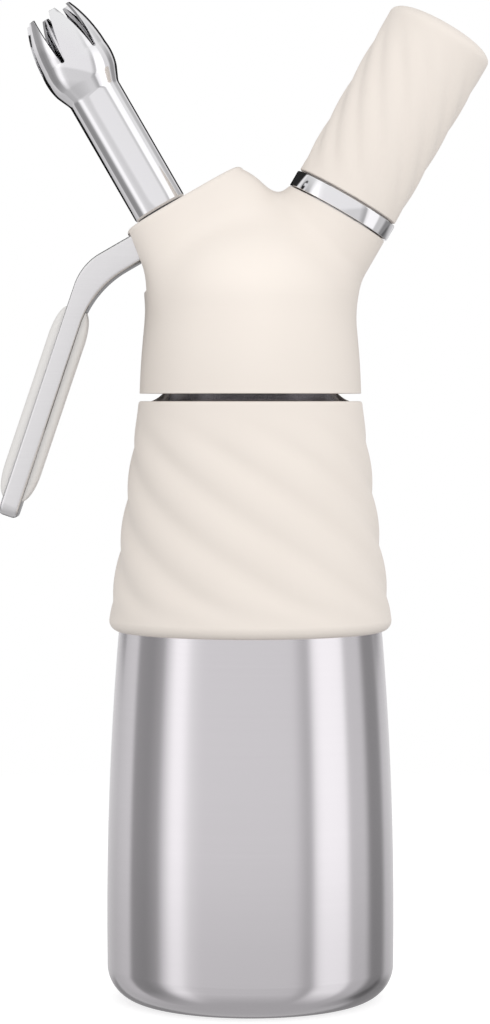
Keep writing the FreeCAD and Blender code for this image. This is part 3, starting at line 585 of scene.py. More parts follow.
class Wardrobe:
    """Builds each finish once and puts it on pieces."""

    def __init__(self) -> None:
        """Builds the shared effects first."""
        skin_grain_group()
        brushed_group()
        self.made: dict[str, bpy.types.Material] = {}

    def dress(self, piece: bpy.types.Object, finish: SkinFinish | MetalFinish) -> None:
        """Gives the whole piece one finish."""
        if finish.name not in self.made:
            self.made[finish.name] = finish.build()
        if not piece.material_slots:
            piece.data.materials.append(None)
        for spot in piece.material_slots:
            spot.material = self.made[finish.name]

    def paint_shade_on_inner_side(self, piece: bpy.types.Object, finish: MetalFinish, most: float = 0.35) -> None:
        """Paints shade onto the side that looks down and towards the bottle, as a second and darker finish.

        A face is on that side when its normal (x, y, z) has |y| under most and x - z above 0.

        Args:
            piece: a piece that already has its first finish.
            finish: the near-black finish that paints shade on its inner side.
            most: how far a face may look towards the front or back.
        """
        self.made.setdefault(finish.name, finish.build())
        piece.data.materials.append(self.made[finish.name])
        normals = np.empty(len(piece.data.polygons) * 3)
        piece.data.polygons.foreach_get("normal", normals)
        x, y, z = normals.reshape(-1, 3).T
        inner = (np.abs(y) < most) & (x - z > 0)
        piece.data.polygons.foreach_set("material_index", inner.astype(np.int32))
        piece.data.update()

    def settle(self, piece: bpy.types.Object, finish: SkinFinish | MetalFinish, body: str, slot: str,
               *nodes: str) -> None:
        """Dresses a new piece, hangs it on its body and hides the CAD nodes that it stands for."""
        self.dress(piece, finish)
        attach(piece, body)
        if nodes:
            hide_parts(*nodes)
        LOG.info("%s: %d faces on body %s", piece.name, len(piece.data.polygons), body)


# ------------------------------------------------------------------------------------------ bottle


@dataclass
class Bottle:
    """The drawn steel bottle with its waist, collar and open neck."""

    radius: float = 40.0
    height: float = 184.7
    wall: float = 1.2
    base_corner: float = 10.0
    waist: Corner = (36.4, 107.0)
    shoulder: Corner = (29.0, 160.0)
    collar: Corner = (28.7, 166.9)
    neck: Corner = (24.4, 169.3)
    barrel_arc: float = 965.0
    shoulder_arc: float = 422.0
    collar_arc: float = 9.0

    def outside(self, sunk: float = 0.0) -> Array:
        """The profile (radius, height) from the base's edge to the rim, moved inwards by sunk."""
        foot = (self.radius - self.base_corner, sunk, self.base_corner - sunk)
        barrel = (self.radius - sunk, self.base_corner, self.barrel_arc)
        waist = (self.waist[0] - sunk, self.waist[1], self.shoulder_arc)
        shoulder = (self.shoulder[0] - sunk, self.shoulder[1])
        collar = (self.collar[0] - sunk, self.collar[1], -self.collar_arc)
        neck = (self.neck[0] - sunk, self.neck[1])
        rim = (self.neck[0] - sunk, self.height)
        return outline([foot, barrel, waist, shoulder, collar, neck, rim], step=0.6)

    def build(self, wardrobe: Wardrobe) -> None:
        """One wall thick from the floor's middle out, up to the rim and back down inside."""
        outer = self.outside()
        inner = self.outside(self.wall)[::-1]
        rim = softened(np.concatenate([outer[-3:], inner[:3]]), self.wall / 3)
        profile = np.concatenate([[[0.0, 0.0]], outer[:-3], rim, inner[3:], [[0.0, self.wall]]])
        piece = make_piece("bottle_shell", [Skin.turned(profile, 200)])
        wardrobe.settle(piece, BOTTLE_STEEL, "bottle", "bottle_steel", "bottle")


@dataclass(frozen=True)
class Waves:
    """Spiral crests round an axis.

    crests is how many there are, lead the height of one whole turn of a crest, and crest_height where
    one of them passes angle 0. rise, end and fall say over which shares of the height they fade.
    """

    crests: int
    depth: float
    lead: float
    crest_height: float
    rise: float
    end: float
    fall: float
    broadness: float = 0.18

    def rings(self, mean: Array, heights: Array, share: Array, segments: int) -> Array:
        """Wavy rings of points round Z.

        With c the cosine of crests * (angle + 2 pi (height - crest_height) / lead), the radius is
        mean + depth * fade * (c - broadness * (c^2 - 1/2)). Its crests are broader than its hollows.

        Args:
            mean: each ring's radius without the waves.
            heights: each ring's height.
            share: each ring's place between the first, 0, and the last, 1.
            segments: how many points a ring has.

        Returns:
            An array (rings, segments, 3).
        """
        fade = smooth_step(share / self.rise) * smooth_step((self.end - share) / self.fall)
        turn = round_angles(segments) + 2 * np.pi * (heights[:, None] - self.crest_height) / self.lead
        wave = np.cos(self.crests * turn)
        shape = wave - self.broadness * (wave * wave - 0.5)
        return ring_stack(mean[:, None] + self.depth * fade[:, None] * shape, heights[:, None], segments)


@dataclass
class GripSleeve:
    """The soft sleeve round the bottle's shoulder."""

    foot: float = 103.2
    height: float = 64.0
    foot_radius: float = 39.4
    top_radius: float = 31.2
    bow: float = -0.29
    lip: float = 3.0
    top_edge: float = 0.8
    skin_gap: float = 0.02
    rows: int = 190
    segments: int = 300
    waves: Waves = Waves(10, 0.42, 144.0, 148.0, rise=0.14, end=0.97, fall=0.24)

    def build(self, bottle: Bottle, wardrobe: Wardrobe) -> None:
        """Wavy rings outside, from the foot's lip to the rounded top, and the bottle's own form inside."""
        top_height = self.foot + self.height
        share = np.linspace(0.0, 1.0, self.rows)
        mean = self.foot_radius + (self.top_radius - self.foot_radius) * share
        mean += self.bow * np.sin(np.pi * share)
        heights = self.foot + self.lip + (self.height - self.lip - self.top_edge) * share
        lean = quarter(9)[:0:-1]
        lip = np.stack([self.foot_radius - self.lip * (1 - np.cos(lean)),
                        self.foot + self.lip * (1 - np.sin(lean))], axis=-1)
        lean = quarter(7)[1:]
        top = np.stack([self.top_radius - self.top_edge * (1 - np.cos(lean)),
                        top_height - self.top_edge * (1 - np.sin(lean))], axis=-1)
        seat = bottle.outside(-self.skin_gap)
        inside = seat[(seat[:, 1] > self.foot + 0.1) & (seat[:, 1] < top_height - 0.1)][::-1]
        ends = [[np.interp(z, seat[:, 1], seat[:, 0]), z] for z in (top_height, self.foot)]
        inner = np.concatenate([ends[:1], inside, ends[1:]])
        rings = np.concatenate([
            rings_of(lip, self.segments), self.waves.rings(mean, heights, share, self.segments),
            rings_of(top, self.segments), rings_of(inner, self.segments)])
        piece = make_piece("grip_sleeve", [Skin.grid(rings, Wrap.BOTH)], sharp=50.0)
        wardrobe.settle(piece, SOFT_CREAM, "bottle", "soft_cream", "bottle_sleeve")


# -------------------------------------------------------------------------------------------- head


def smooth_union(first: Array, second: Array, blend: float) -> Array:
    """The lesser of two distances less near^2 blend / 4.

    near is 1 where the two are equal and falls to 0 where they are blend apart.
    """
    near = np.maximum(blend - np.abs(first - second), 0.0) / blend
    return np.minimum(first, second) - near * near * blend / 4


@dataclass
class HeadCasing:
    """The moulded casing: a round skirt and shoulder that flow into two raked bosses."""

    foot: float = 169.3
    skirt_radius: float = 30.9
    skirt_bore: float = 27.7
    ring_top: float = 184.5
    gasket_room: float = 25.5
    ceiling: float = 187.1
    flow_radius: float = 20.0
    flow_top: float = 190.1
    heart: float = 200.0
    blend: float = 8.0
    root_blend: float = 3.5
    lever_boss_top: float = 49.2
    lever_boss_edge: float = 1.4
    charger_boss_top: float = 48.4
    charger_boss_edge: float = 0.5
    squareness: float = 3.2
    skirt: Corners = ((30.45, 179.0), (29.35, 190.5), (29.3, 195.0))
    shoulder: Corners = ((29.3, 195.0, 22.0), (25.96, 206.7, 32.6), (0.0, 222.0))
    lever_levels: Corner = (18.0, 33.0, 43.5, 50.0)
    lever_sides: Corners = (
        (-15.6, -13.7, -12.1, -11.2), (26.5, 28.6, 27.6, 23.6), (22.0, 17.0, 15.6, 15.0))
    charger_flare: Corners = ((18.5, 12.0), (18.5, 20.0, -50.0), (15.1, 38.0), (15.1, 60.0))
    boss_root: float = 12.0
    valve_bore: Corners = (
        (0, 8), (7.5, 8), (7.5, 17.3), (4.5, 17.3), (4.5, 26.3), (3.6, 26.3), (3.6, 27.5), (6.8, 27.5),
        (6.8, 44.8), (7.02, 44.8), (7.02, 51), (0, 51))
    gas_bore: Corners = (
        (0, 8), (2.2, 8), (2.2, 28), (4.22, 28), (4.22, 34), (9.02, 34), (9.02, 43), (12.02, 43),
        (12.02, 49.4), (0, 49.4))
    lever_slot: Corners = ((14.7, 44.8), (-7.7, 44.8), (-7.7, 48.2), (-24, 48.2), (-24, 30.5), (14.7, 37.3))
    slot_half: float = 7.8
    rows: int = 170
    segments: int = 300
    halvings: int = 22
    nearest: float = 5.0
    furthest: float = 75.0

    def shoulder_profile(self) -> Array:
        """The skirt's and shoulder's (radius, height)."""
        foot = ((self.skirt_radius, self.foot - 8), (self.skirt_radius, self.foot))
        skirt = softened(np.array(foot + self.skirt), 5.0, least=1.5)
        return np.concatenate([skirt[:-1], outline(self.shoulder, step=4.0)])

    def shoulder_distance(self, points: Array) -> Array:
        """Distance from the round shoulder: to the nearest run of its profile, minus inside."""
        profile = self.shoulder_profile()
        radial = np.hypot(points[..., 0], points[..., 1])
        spot = np.stack([radial, points[..., 2]], axis=-1)[..., None, :]
        start, run = profile[:-1], np.diff(profile, axis=0)
        along = np.clip(((spot - start) * run).sum(-1) / (run * run).sum(-1), 0.0, 1.0)
        away = np.linalg.norm(spot - start - along[..., None] * run, axis=-1).min(axis=-1)
        outside = radial > np.interp(points[..., 2], profile[:, 1], profile[:, 0], right=-1.0)
        return np.where(outside, away, -away)

    def lever_boss_distance(self, points: Array) -> Array:
        """The squarish boss: (q - 1) times its mean half width.

        With the local point (u, y, w), m and h the middle and half of its width at w, d its depth
        there and n the squareness, q^n = |u - m|^n / h^n + |y|^n / d^n. Its near side, its far side and
        its depth are cubics through the four levels.
        """
        spot = NOZZLE.local(points)
        height = np.clip(spot[..., 2], 14.0, 53.0)
        near, far, depth = (np.polyval(np.polyfit(self.lever_levels, sizes, 3), height)
                            for sizes in self.lever_sides)
        half = (far - near) / 2
        power = self.squareness
        across = np.abs(spot[..., 0] - (near + far) / 2) / half
        q = (across**power + (np.abs(spot[..., 1]) / depth) ** power) ** (1 / power)
        side = (q - 1) * (half + depth) / 2
        return np.maximum(np.maximum(side, spot[..., 2] - 53.5), self.boss_root - spot[..., 2])

    def charger_boss_distance(self, points: Array) -> Array:
        """The round boss, a cylinder flared towards its root."""
        spot = CHARGER.local(points)
        flare = outline(self.charger_flare)
        side = np.hypot(spot[..., 0], spot[..., 1]) - np.interp(spot[..., 2], flare[:, 1], flare[:, 0])
        return np.maximum(np.maximum(side, spot[..., 2] - 52.0), self.boss_root - spot[..., 2])

    def distance(self, points: Array) -> Array:
        """All three forms, blended."""
        lever, charger = self.lever_boss_distance(points), self.charger_boss_distance(points)
        bosses = smooth_union(lever, charger, self.blend)
        return smooth_union(self.shoulder_distance(points), bosses, self.root_blend)

    def skin(self) -> Skin:
        """The whole casing as rings round its heart.

        Each ray from the heart is halved again and again to where the blended distance is nought. Under
        the skirt's rim the rings go on inwards and up: the bore, the gasket's room and the flow space.
        """
        low = math.atan2(self.foot + 0.4 - self.heart, self.skirt_radius)
        rise = np.linspace(low, np.pi / 2, self.rows)[:, None]
        ray = ring_stack(np.cos(rise), np.sin(rise), self.segments)
        heart = np.array([0.0, 0.0, self.heart])
        inside, outside = np.full(ray.shape[:2], self.nearest), np.full(ray.shape[:2], self.furthest)
        for _ in range(self.halvings):
            middle = (inside + outside) / 2
            within = self.distance(heart + ray * middle[..., None]) < 0
            inside, outside = np.where(within, middle, inside), np.where(within, outside, middle)
        outer = (heart + ray * inside[..., None])[::-1]
        bore = softened(np.array([
            (self.skirt_radius - 0.02, self.foot + 0.3), (self.skirt_radius - 0.05, self.foot),
            (self.skirt_bore, self.foot), (self.skirt_bore, self.ring_top),
            (self.gasket_room, self.ring_top), (self.gasket_room, self.ceiling),
            (self.flow_radius, self.ceiling), (self.flow_radius, self.flow_top), (0.0, self.flow_top)]), 0.35)
        return Skin.grid(np.concatenate([outer, rings_of(bore, self.segments)]))

    def close_boss(self, piece: bpy.types.Object, place: Place, top: float, edge: float) -> None:
        """Cuts a boss off square and rounds its end.

        The cut's loop P is carried in by edge (1 - cos t) along its inward normal and up by
        edge sin t, for t from 0 to 90 degrees, and the last loop is filled.

        Args:
            piece: the casing.
            place: the boss's own frame.
            top: the height of its end.
            edge: the radius of the rounding.
        """
        normal = Vector(place.direction(0.0, 1.0))
        spot = Vector((place.put(np.array([0.0, 0.0, top - edge])) * MM).tolist())
        work = bmesh.new()
        work.from_mesh(piece.data)
        everything = work.verts[:] + work.edges[:] + work.faces[:]
        cut = bmesh.ops.bisect_plane(work, geom=everything, dist=1e-7, plane_co=spot, plane_no=normal,
                                     clear_outer=True)["geom_cut"]
        rim = {item for item in cut if isinstance(item, bmesh.types.BMEdge) and item.is_boundary}
        loop = ordered_loop(rim)
        points = np.array([vertex.co[:] for vertex in loop])
        along = np.roll(points, -1, axis=0) - np.roll(points, 1, axis=0)
        inward = np.cross(np.array(normal), along)
        inward /= np.linalg.norm(inward, axis=1)[:, None]
        if ((points.mean(axis=0) - points) * inward).sum() < 0:
            inward = -inward
        lean = quarter(7)[1:, None, None]
        rings = points + edge * MM * (inward * (1 - np.cos(lean)) + np.array(normal) * np.sin(lean))
        last = loop
        for ring in rings:
            following = [work.verts.new(point) for point in ring.tolist()]
            for index in range(len(last)):
                ahead = (index + 1) % len(last)
                work.faces.new((last[index], last[ahead], following[ahead], following[index]))
            last = following
        work.faces.new(last)
        bmesh.ops.recalc_face_normals(work, faces=work.faces)
        work.to_mesh(piece.data)
        work.free()

    def cutters(self) -> list[bpy.types.Object]:
        """The valve's bore, the gas bore and the slot that the lever swings in."""
        return [
            make_piece("valve_bore", [Skin.turned(self.valve_bore, 96)], NOZZLE),
            make_piece("gas_bore", [Skin.turned(self.gas_bore, 96)], CHARGER),
            make_piece("lever_slot", [Skin.prism(self.lever_slot, -self.slot_half, self.slot_half)], NOZZLE),
        ]

    def build(self, wardrobe: Wardrobe) -> None:
        """Skin, boss ends, then the bores."""
        piece = make_piece("head_casing", [self.skin()])
        self.close_boss(piece, NOZZLE, self.lever_boss_top, self.lever_boss_edge)
        self.close_boss(piece, CHARGER, self.charger_boss_top, self.charger_boss_edge)
        bored(piece, self.cutters(), sharp=40.0)
        wardrobe.settle(piece, CREAM_PLASTIC, "head", "cream_plastic", "head_shell")


def ordered_loop(edges: set[bmesh.types.BMEdge]) -> list[bmesh.types.BMVert]:
    """The points of one closed loop of edges, in order."""
    edge = next(iter(edges))
    loop = [edge.verts[0], edge.verts[1]]
    while True:
        edge = next(item for item in loop[-1].link_edges if item in edges and item != edge)
        ahead = edge.other_vert(loop[-1])
        if ahead == loop[0]:
            return loop
        loop.append(ahead)


# ------------------------------------------------------------------------------------------- lever


@dataclass
class Lever:
    """The cast lever: a fork round the valve, a root through the slot, a bend and a long handle."""

    width: float = 15.0
    fork_gap: float = 7.8
    outer_start: Corner = (-20.64, 47.45)
    outer_arc: float = 16.0
    inner_start: Corner = (-16.75, 39.9)
    inner_arc: float = 28.5
    bend: float = 41.3
    handle: float = 66.7
    handle_end: float = 5.3
    edge: float = 1.0
    end_round: float = 3.6
    pad_start: float = 5.94
    pad_length: float = 56.0
    pad_width: float = 10.4
    pad_proud: float = 2.6
    pad_ramp: float = 9.0
    pad_sunk: float = 0.4
    thickness: float = 5.0
    window_half: float = 5.1
    window_gap: float = 0.1
    fork: Corners = (
        (11.0, 44.4), (-9.0, 44.0), (-9.0, 41.0), (-8.5, 40.3), (-2.2, 40.3, 2.31), (2.2, 40.3),
        (11.0, 37.6, 3.4), (14.4, 41.0, 3.4))

    def bend_end(self) -> tuple[float, float]:
        """Where the outer side leaves its arc, (u, w)."""
        lean = math.radians(self.bend)
        return (self.outer_start[0] - self.outer_arc * math.sin(lean),
                self.outer_start[1] - self.outer_arc * (1 - math.cos(lean)))

    def handle_place(self) -> Place:
        """X runs down the handle, Z inwards through it."""
        return NOZZLE.inner(*self.bend_end(), 180.0 - self.bend)

    def sides(self) -> tuple[Array, Array]:
        """Outer and inner line of the root, bend and handle, station by station, (u, w)."""
        lean = np.radians(np.linspace(0.0, self.bend, 28))
        lines = []
        ends = ((-8.0, self.outer_start[1]), (-9.5, self.inner_start[1]))
        tip = np.array(self.bend_end()) + self.handle * np.array([-math.cos(lean[-1]), -math.sin(lean[-1])])
        inner_tip = tip + self.handle_end * np.array([math.sin(lean[-1]), -math.cos(lean[-1])])
        share = np.linspace(0.0, 1.0, 7)[:-1, None]
        along = 1 - (1 - np.linspace(0.0, 1.0, 70)[1:, None]) ** 1.35
        for start, arc, end, last in ((self.outer_start, self.outer_arc, ends[0], tip),
                                      (self.inner_start, self.inner_arc, ends[1], inner_tip)):
            root = np.array(end) + (np.array(start) - np.array(end)) * share
            bend = np.stack([start[0] - arc * np.sin(lean), start[1] - arc * (1 - np.cos(lean))], axis=-1)
            lines.append(np.concatenate([root, bend, bend[-1] + (last - bend[-1]) * along]))
        return lines[0], lines[1]

    def bar_skin(self) -> Skin:
        """A rounded rectangle carried along the two sides, narrower where the handle's end is round."""
        outer, inner = self.sides()
        thick = np.linalg.norm(inner - outer, axis=1)
        left = np.linalg.norm(outer - outer[-1], axis=1)
        short = np.clip(self.end_round - left, 0.0, self.end_round)
        half = self.width / 2 - self.end_round + np.sqrt(np.maximum(self.end_round**2 - short**2, 0.04))
        thin = np.sqrt(np.clip(1 - ((1.0 - np.minimum(left, 1.0)) / 1.25) ** 2, 0.02, 1.0))
        section = rounded_section(half, thick / 2 * thin, self.edge * thin)
        middle = (outer + inner) / 2
        across = (inner - outer) / thick[:, None]
        spot = middle[:, None] + across[:, None] * section[..., 1:]
        rings = np.stack([spot[..., 0], section[..., 0], spot[..., 1]], axis=-1)
        return Skin.capped(rings)

    def pad_skin(self) -> Skin:
        """The soft pad: rounded rectangles along the handle whose height rises in an arc at both ends."""
        ramp = self.pad_ramp * (1 - np.cos(np.linspace(0.0, np.pi / 2, 16)))
        level = np.linspace(self.pad_ramp, self.pad_length - self.pad_ramp, 26)[1:-1]
        along = np.concatenate([ramp, level, self.pad_length - ramp[::-1]])
        left = np.minimum(along, self.pad_length - along)
        rise = np.sqrt(np.clip(1 - (1 - np.minimum(left / self.pad_ramp, 1.0)) ** 2, 0.0, 1.0))
        high = self.thickness / 2 - self.pad_sunk + (self.pad_proud + self.pad_sunk) * rise
        section = rounded_section(np.full(len(along), self.pad_width / 2), high, 0.6 + 1.5 * rise)
        u = self.pad_start + np.broadcast_to(along[:, None], section.shape[:2])
        return Skin.capped(np.stack([u, section[..., 0], section[..., 1] + self.thickness / 2], axis=-1))

    def window_skin(self) -> Skin:
        """The box that the window is cut with, a little shorter than the pad."""
        first, last = self.pad_start + self.window_gap, self.pad_start + self.pad_length - self.window_gap
        side = ((first, -6.0), (last, -6.0), (last, 12.0), (first, 12.0))
        return Skin.prism(side, -self.window_half, self.window_half)

    def build(self, wardrobe: Wardrobe) -> None:
        """The bar with its window, the two cheeks of the fork, and the pad in the window."""
        piece = make_piece("hand_lever", [self.bar_skin()], NOZZLE)
        bored(piece, [make_piece("handle_window", [self.window_skin()], self.handle_place())])
        wardrobe.settle(piece, LEVER_METAL, "lever", "lever_metal", "lever")
        # Painted shade on the faces that look down and towards the bottle.
        wardrobe.paint_shade_on_inner_side(piece, LEVER_PAINTED_SHADE)
        fork = outline(self.fork, closed=True, step=12.0)
        near, far = self.fork_gap / 2, self.width / 2
        for number, (low, high) in enumerate(((near, far), (-far, -near))):
            part = make_piece(f"lever_fork_{number + 1}", [Skin.prism(fork, low, high)], NOZZLE)
            wardrobe.settle(part, LEVER_METAL, "lever", "lever_metal")
        pad = make_piece("lever_grip_pad", [self.pad_skin()], self.handle_place(), sharp=60.0)
        wardrobe.settle(pad, PAD_SILICONE, "lever", "pad_silicone", "lever_pad")


def rounded_section(half: Array, high: Array, edge: Array, steps: int = 5) -> Array:
    """Rounded rectangles, one for each station.

    Each corner is a quarter circle: centre (+-(half - edge), +-(high - edge)) and radius edge.

    Args:
        half, high: half its width and half its height at each station.
        edge: the corner radius at each station.
        steps: how many runs a corner has.

    Returns:
        An array (stations, points, 2).
    """
    edge = np.minimum(edge, np.minimum(half, high) * 0.98)[:, None, None]
    turn = np.linspace(0.0, np.pi / 2, steps + 1)[None] + np.pi / 2 * np.arange(4)[:, None]
    side = np.array([(1, 1), (-1, 1), (-1, -1), (1, -1)])[None, :, None]
    centre = (np.stack([half, high], axis=-1)[:, None, None] - edge[..., None]) * side
    circle = np.stack([np.cos(turn), np.sin(turn)], axis=-1)[None] * edge[..., None]
    return (centre + circle).reshape(len(half), -1, 2)


# --------------------------------------------------------------------------------- decorating tip


@dataclass
class DecoratingTip:
    """A polished tube that swells into a tulip and opens into six tines."""

    base: float = 49.95
    radius: float = 7.7
    wall: float = 0.9
    tube_top: float = 86.7
    rim: float = 112.1
    rim_radius: float = 7.0
    tines: int = 6
    slit_foot: float = 98.2
    slit_round: float = 0.75
    slit_foot_half: float = 0.7
    slit_rim_half: float = 2.6
    turn: float = 12.0
    columns: int = 22
    swell: Corners = ((9.5, 90.7, 16.0), (10.1, 97.9, 38.0))
    socket: Corners = ((6.8, 58.6), (3.8, 58.6), (3.8, 57.2), (6.1, 57.2))
    inside_foot: float = 60.0

    def outer_profile(self) -> Array:
        """Outside (radius, height): tube, swell and tulip, its bends rounded."""
        swell = outline([(self.radius, 82.0), (self.radius, self.tube_top), *self.swell,
                         (self.rim_radius, self.rim)], step=3.0)
        swell = softened(swell, 0.5, steps=5, least=6.0)
        foot = softened(np.array([(self.radius - 0.9, self.base), (self.radius - 0.35, self.base),
                                  (self.radius, self.base + 0.6), (self.radius, self.base + 3.0)]), 0.2)
        return np.concatenate([foot, swell])

    def half_slit(self, heights: Array) -> Array:
        """Half a slit's width: a half circle at its foot, then a straight V to the rim."""
        below = np.clip((self.slit_foot - heights) / self.slit_round, 0.0, 1.0)
        rise = np.clip((heights - self.slit_foot) / (self.rim - self.slit_foot), 0.0, 1.0)
        open_half = self.slit_foot_half + (self.slit_rim_half - self.slit_foot_half) * rise
        return np.where(heights < self.slit_foot, self.slit_foot_half * np.sqrt(1 - below**2), open_half)

    def build(self, wardrobe: Wardrobe) -> None:
        """Six sectors. A column's angle runs evenly between the edges of two slits at its height."""
        profile = self.outer_profile()
        low = self.slit_foot - self.slit_round
        foot_heights = self.slit_foot - self.slit_round * np.cos(quarter(7))
        tine = np.concatenate([foot_heights, np.linspace(self.slit_foot, self.rim, 26)[1:]])
        outside = np.stack([np.interp(tine, profile[:, 1], profile[:, 0]), tine], axis=-1)
        lower = profile[profile[:, 1] < low - 0.05]
        walled = np.array([self.wall, 0.0])
        tube_inside = (lower - walled)[lower[:, 1] > self.inside_foot][::-1]
        socket = np.array([*self.socket, (self.socket[-1][0], self.base)])
        chain = np.concatenate([lower, outside, (outside - walled)[::-1], tube_inside, socket])
        half = np.where(chain[:, 1] >= low - 1e-6, self.half_slit(chain[:, 1]), 0.0)
        gap = np.arcsin(half / chain[:, 0])[:, None, None]
        sector = 2 * np.pi / self.tines
        share = np.linspace(0.0, 1.0, self.columns)[None, None]
        start = sector * np.arange(self.tines)[None, :, None]
        angles = start + gap + (sector - 2 * gap) * share + math.radians(self.turn)
        radii = np.broadcast_to(chain[:, 0, None, None], angles.shape)
        heights = np.broadcast_to(chain[:, 1, None, None], angles.shape)
        points = np.stack([radii * np.cos(angles), radii * np.sin(angles), heights], axis=-1)
        skins = []
        outer_rows = len(lower) + np.arange(len(tine))
        inner_rows = (outer_rows + len(tine))[::-1]
        for number in range(self.tines):
            skins.append(Skin.grid(points[:, number], Wrap.ROWS))
            for column in (0, -1):
                wall = np.stack([points[outer_rows, number, column], points[inner_rows, number, column]])
                skins.append(Skin.grid(wall, Wrap.NONE))
        piece = make_piece("tulip_tip", skins, NOZZLE)
        edge = piece.modifiers.new("edge", "BEVEL")
        edge.width = 0.12 * MM
        edge.segments = 2
        edge.limit_method = "ANGLE"
        edge.angle_limit = math.radians(50.0)
        wardrobe.settle(piece, POLISHED_STEEL, "tip", "polished_steel", "decorator_tip")


# --------------------------------------------------------------------------------- charger holder


@dataclass
class ChargerHolder:
    """The polished cup that screws over the cartridge, and its wavy grip."""

    foot: float = 48.7
    ring_top: float = 53.3
    bell_top: float = 57.2
    ring_radius: float = 15.5
    bell_radius: float = 13.6
    sleeve_radius: float = 11.0
    bore: float = 9.4
    top: float = 107.25
    cartridge_top: float = 106.05
    grip_foot: float = 53.85
    grip_radius: float = 15.15
    grip_end_radius: float = 15.5
    grip_end: float = 108.7
    dome: float = 4.6
    dome_power: float = 2.6
    mouth: float = 12.1
    mouth_top: float = 55.5
    bore_foot: float = 57.1
    bell_slope: float = 1.6
    skin_gap: float = 0.02
    rows: int = 130
    segments: int = 288
    waves: Waves = Waves(12, 0.28, 150.0, 77.0, rise=0.2, end=1.0, fall=0.25)

    def cup_profile(self) -> Array:
        """The cup's closed wall (radius, height), its polished edges softened."""
        corners = np.array([
            (self.mouth, self.foot), (self.ring_radius, self.foot), (self.ring_radius, self.ring_top),
            (self.bell_radius, self.ring_top), (self.bell_radius, self.bell_top),
            (self.sleeve_radius, self.bell_top + self.bell_slope), (self.sleeve_radius, self.top),
            (0.0, self.top), (0.0, self.cartridge_top), (self.bore, self.cartridge_top),
            (self.bore, self.bore_foot), (self.mouth, self.mouth_top)])
        soft = softened(corners[:8], 0.3)
        return np.concatenate([soft, corners[8:]])

    def grip_skin(self) -> Skin:
        """Wavy rings up to the dome, a rounded dome, and the cup's own form inside."""
        top = self.grip_end - self.dome
        share = np.linspace(0.0, 1.0, self.rows)
        heights = self.grip_foot + (top - self.grip_foot) * share
        mean = self.grip_radius + (self.grip_end_radius - self.grip_radius) * share**3
        wavy = self.waves.rings(mean, heights, share, self.segments)
        lean = quarter(26)[1:]
        power = 2 / self.dome_power
        radii = self.grip_end_radius * np.maximum(np.cos(lean), 0.0) ** power
        radii[-1] = 0.0
        dome = np.stack([radii, top + self.dome * np.sin(lean) ** power], axis=-1)
        bell, sleeve = self.bell_radius + self.skin_gap, self.sleeve_radius + self.skin_gap
        edge = softened(np.array([(bell, self.grip_foot), (self.grip_radius - 0.35, self.grip_foot),
                                  (self.grip_radius, self.grip_foot + 0.3)]), 0.15)
        inner = ((0.0, self.top + self.skin_gap), (sleeve, self.top + self.skin_gap),
                 (sleeve, self.bell_top + self.bell_slope), (bell, self.bell_top))
        before = [rings_of(profile, self.segments) for profile in (inner, edge)]
        return Skin.grid(np.concatenate([*before, wavy[1:], rings_of(dome, self.segments)]))

    def build(self, wardrobe: Wardrobe) -> None:
        """Cup and grip."""
        cup = make_piece("charger_cup", [Skin.turned(self.cup_profile(), 144, closed=True)], CHARGER)
        wardrobe.settle(cup, POLISHED_STEEL, "charger_holder", "polished_steel", "holder_sleeve")
        grip = make_piece("charger_grip", [self.grip_skin()], CHARGER, sharp=50.0)
        wardrobe.settle(grip, SOFT_CREAM, "charger_holder", "soft_cream", "holder_grip")


# ------------------------------------------------------------------------------------ inner pieces


@dataclass
class ValveSpring:
    """The coil spring between the pocket's floor and the stem's flange."""

    foot: float = 27.5
    top: float = 36.0
    radius: float = 5.0
    wire: float = 0.45
    turns: float = 4.5
    pressed: float = 2.88

    def build(self, wardrobe: Wardrobe) -> None:
        """A round wire along a helix: centre (R cos a, R sin a, foot + pitch a), side radius wire."""
        stations, sides = 240, 12
        share = np.linspace(0.0, 1.0, stations)
        around = 2 * np.pi * self.turns * share
        climb = self.foot + self.wire + (self.top - self.foot - 2 * self.wire) * share
        lean = round_angles(sides)
        reach = self.radius + self.wire * np.cos(lean)[None]
        rings = np.stack([reach * np.cos(around)[:, None], reach * np.sin(around)[:, None],
                          climb[:, None] + self.wire * np.sin(lean)[None]], axis=-1)
        piece = make_piece("coil_spring", [Skin.capped(rings)], NOZZLE, sharp=60.0)
        wardrobe.settle(piece, TURNED_STEEL, "head", "valve_steel", "valve_spring")
        anchor = NOZZLE.put(np.array([0.0, 0.0, self.foot])) * MM
        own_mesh(piece)


INNER_FINISHES = {
    # The nozzle adapter's near-black finish is painted shade.
    "thread_ring": TURNED_STEEL, "nozzle_adapter": ADAPTER_PAINTED_SHADE, "valve_stem": TURNED_STEEL,
    "seal_screw": TURNED_STEEL, "lever_pin": TURNED_STEEL, "charger_nipple": TURNED_STEEL,
    "piercing_pin": TURNED_STEEL, "gas_charger": BOTTLE_STEEL, "valve_seal": DARK_RUBBER,
    "lower_o_ring": DARK_RUBBER, "upper_o_ring": DARK_RUBBER, "nipple_o_ring": DARK_RUBBER,
    "charger_seal": DARK_RUBBER, "check_valve": DARK_RUBBER, "head_gasket": RED_SILICONE,
    "tip_seal": RED_SILICONE,
}


def dress_inner_pieces(frame: dict, wardrobe: Wardrobe) -> None:
    """Gives the CAD nodes that stay their finishes; the nozzle adapter's near-black one is painted shade."""
    for name, finish in INNER_FINISHES.items():
        wardrobe.dress(frame["nodes"][name], finish)
        LOG.info("%s: finish %s", name, finish.name)


# ------------------------------------------------------------------------------------------ studio


WHITE = (1.0, 1.0, 1.0, 1.0)


def look_at(thing: bpy.types.Object, spot: Vector, aim: Vector) -> None:
    """Stands a lamp or the camera at a spot and turns it to where it aims, in metres."""
    thing.location = spot
    thing.rotation_euler = (aim - spot).to_track_quat("-Z", "Y").to_euler()


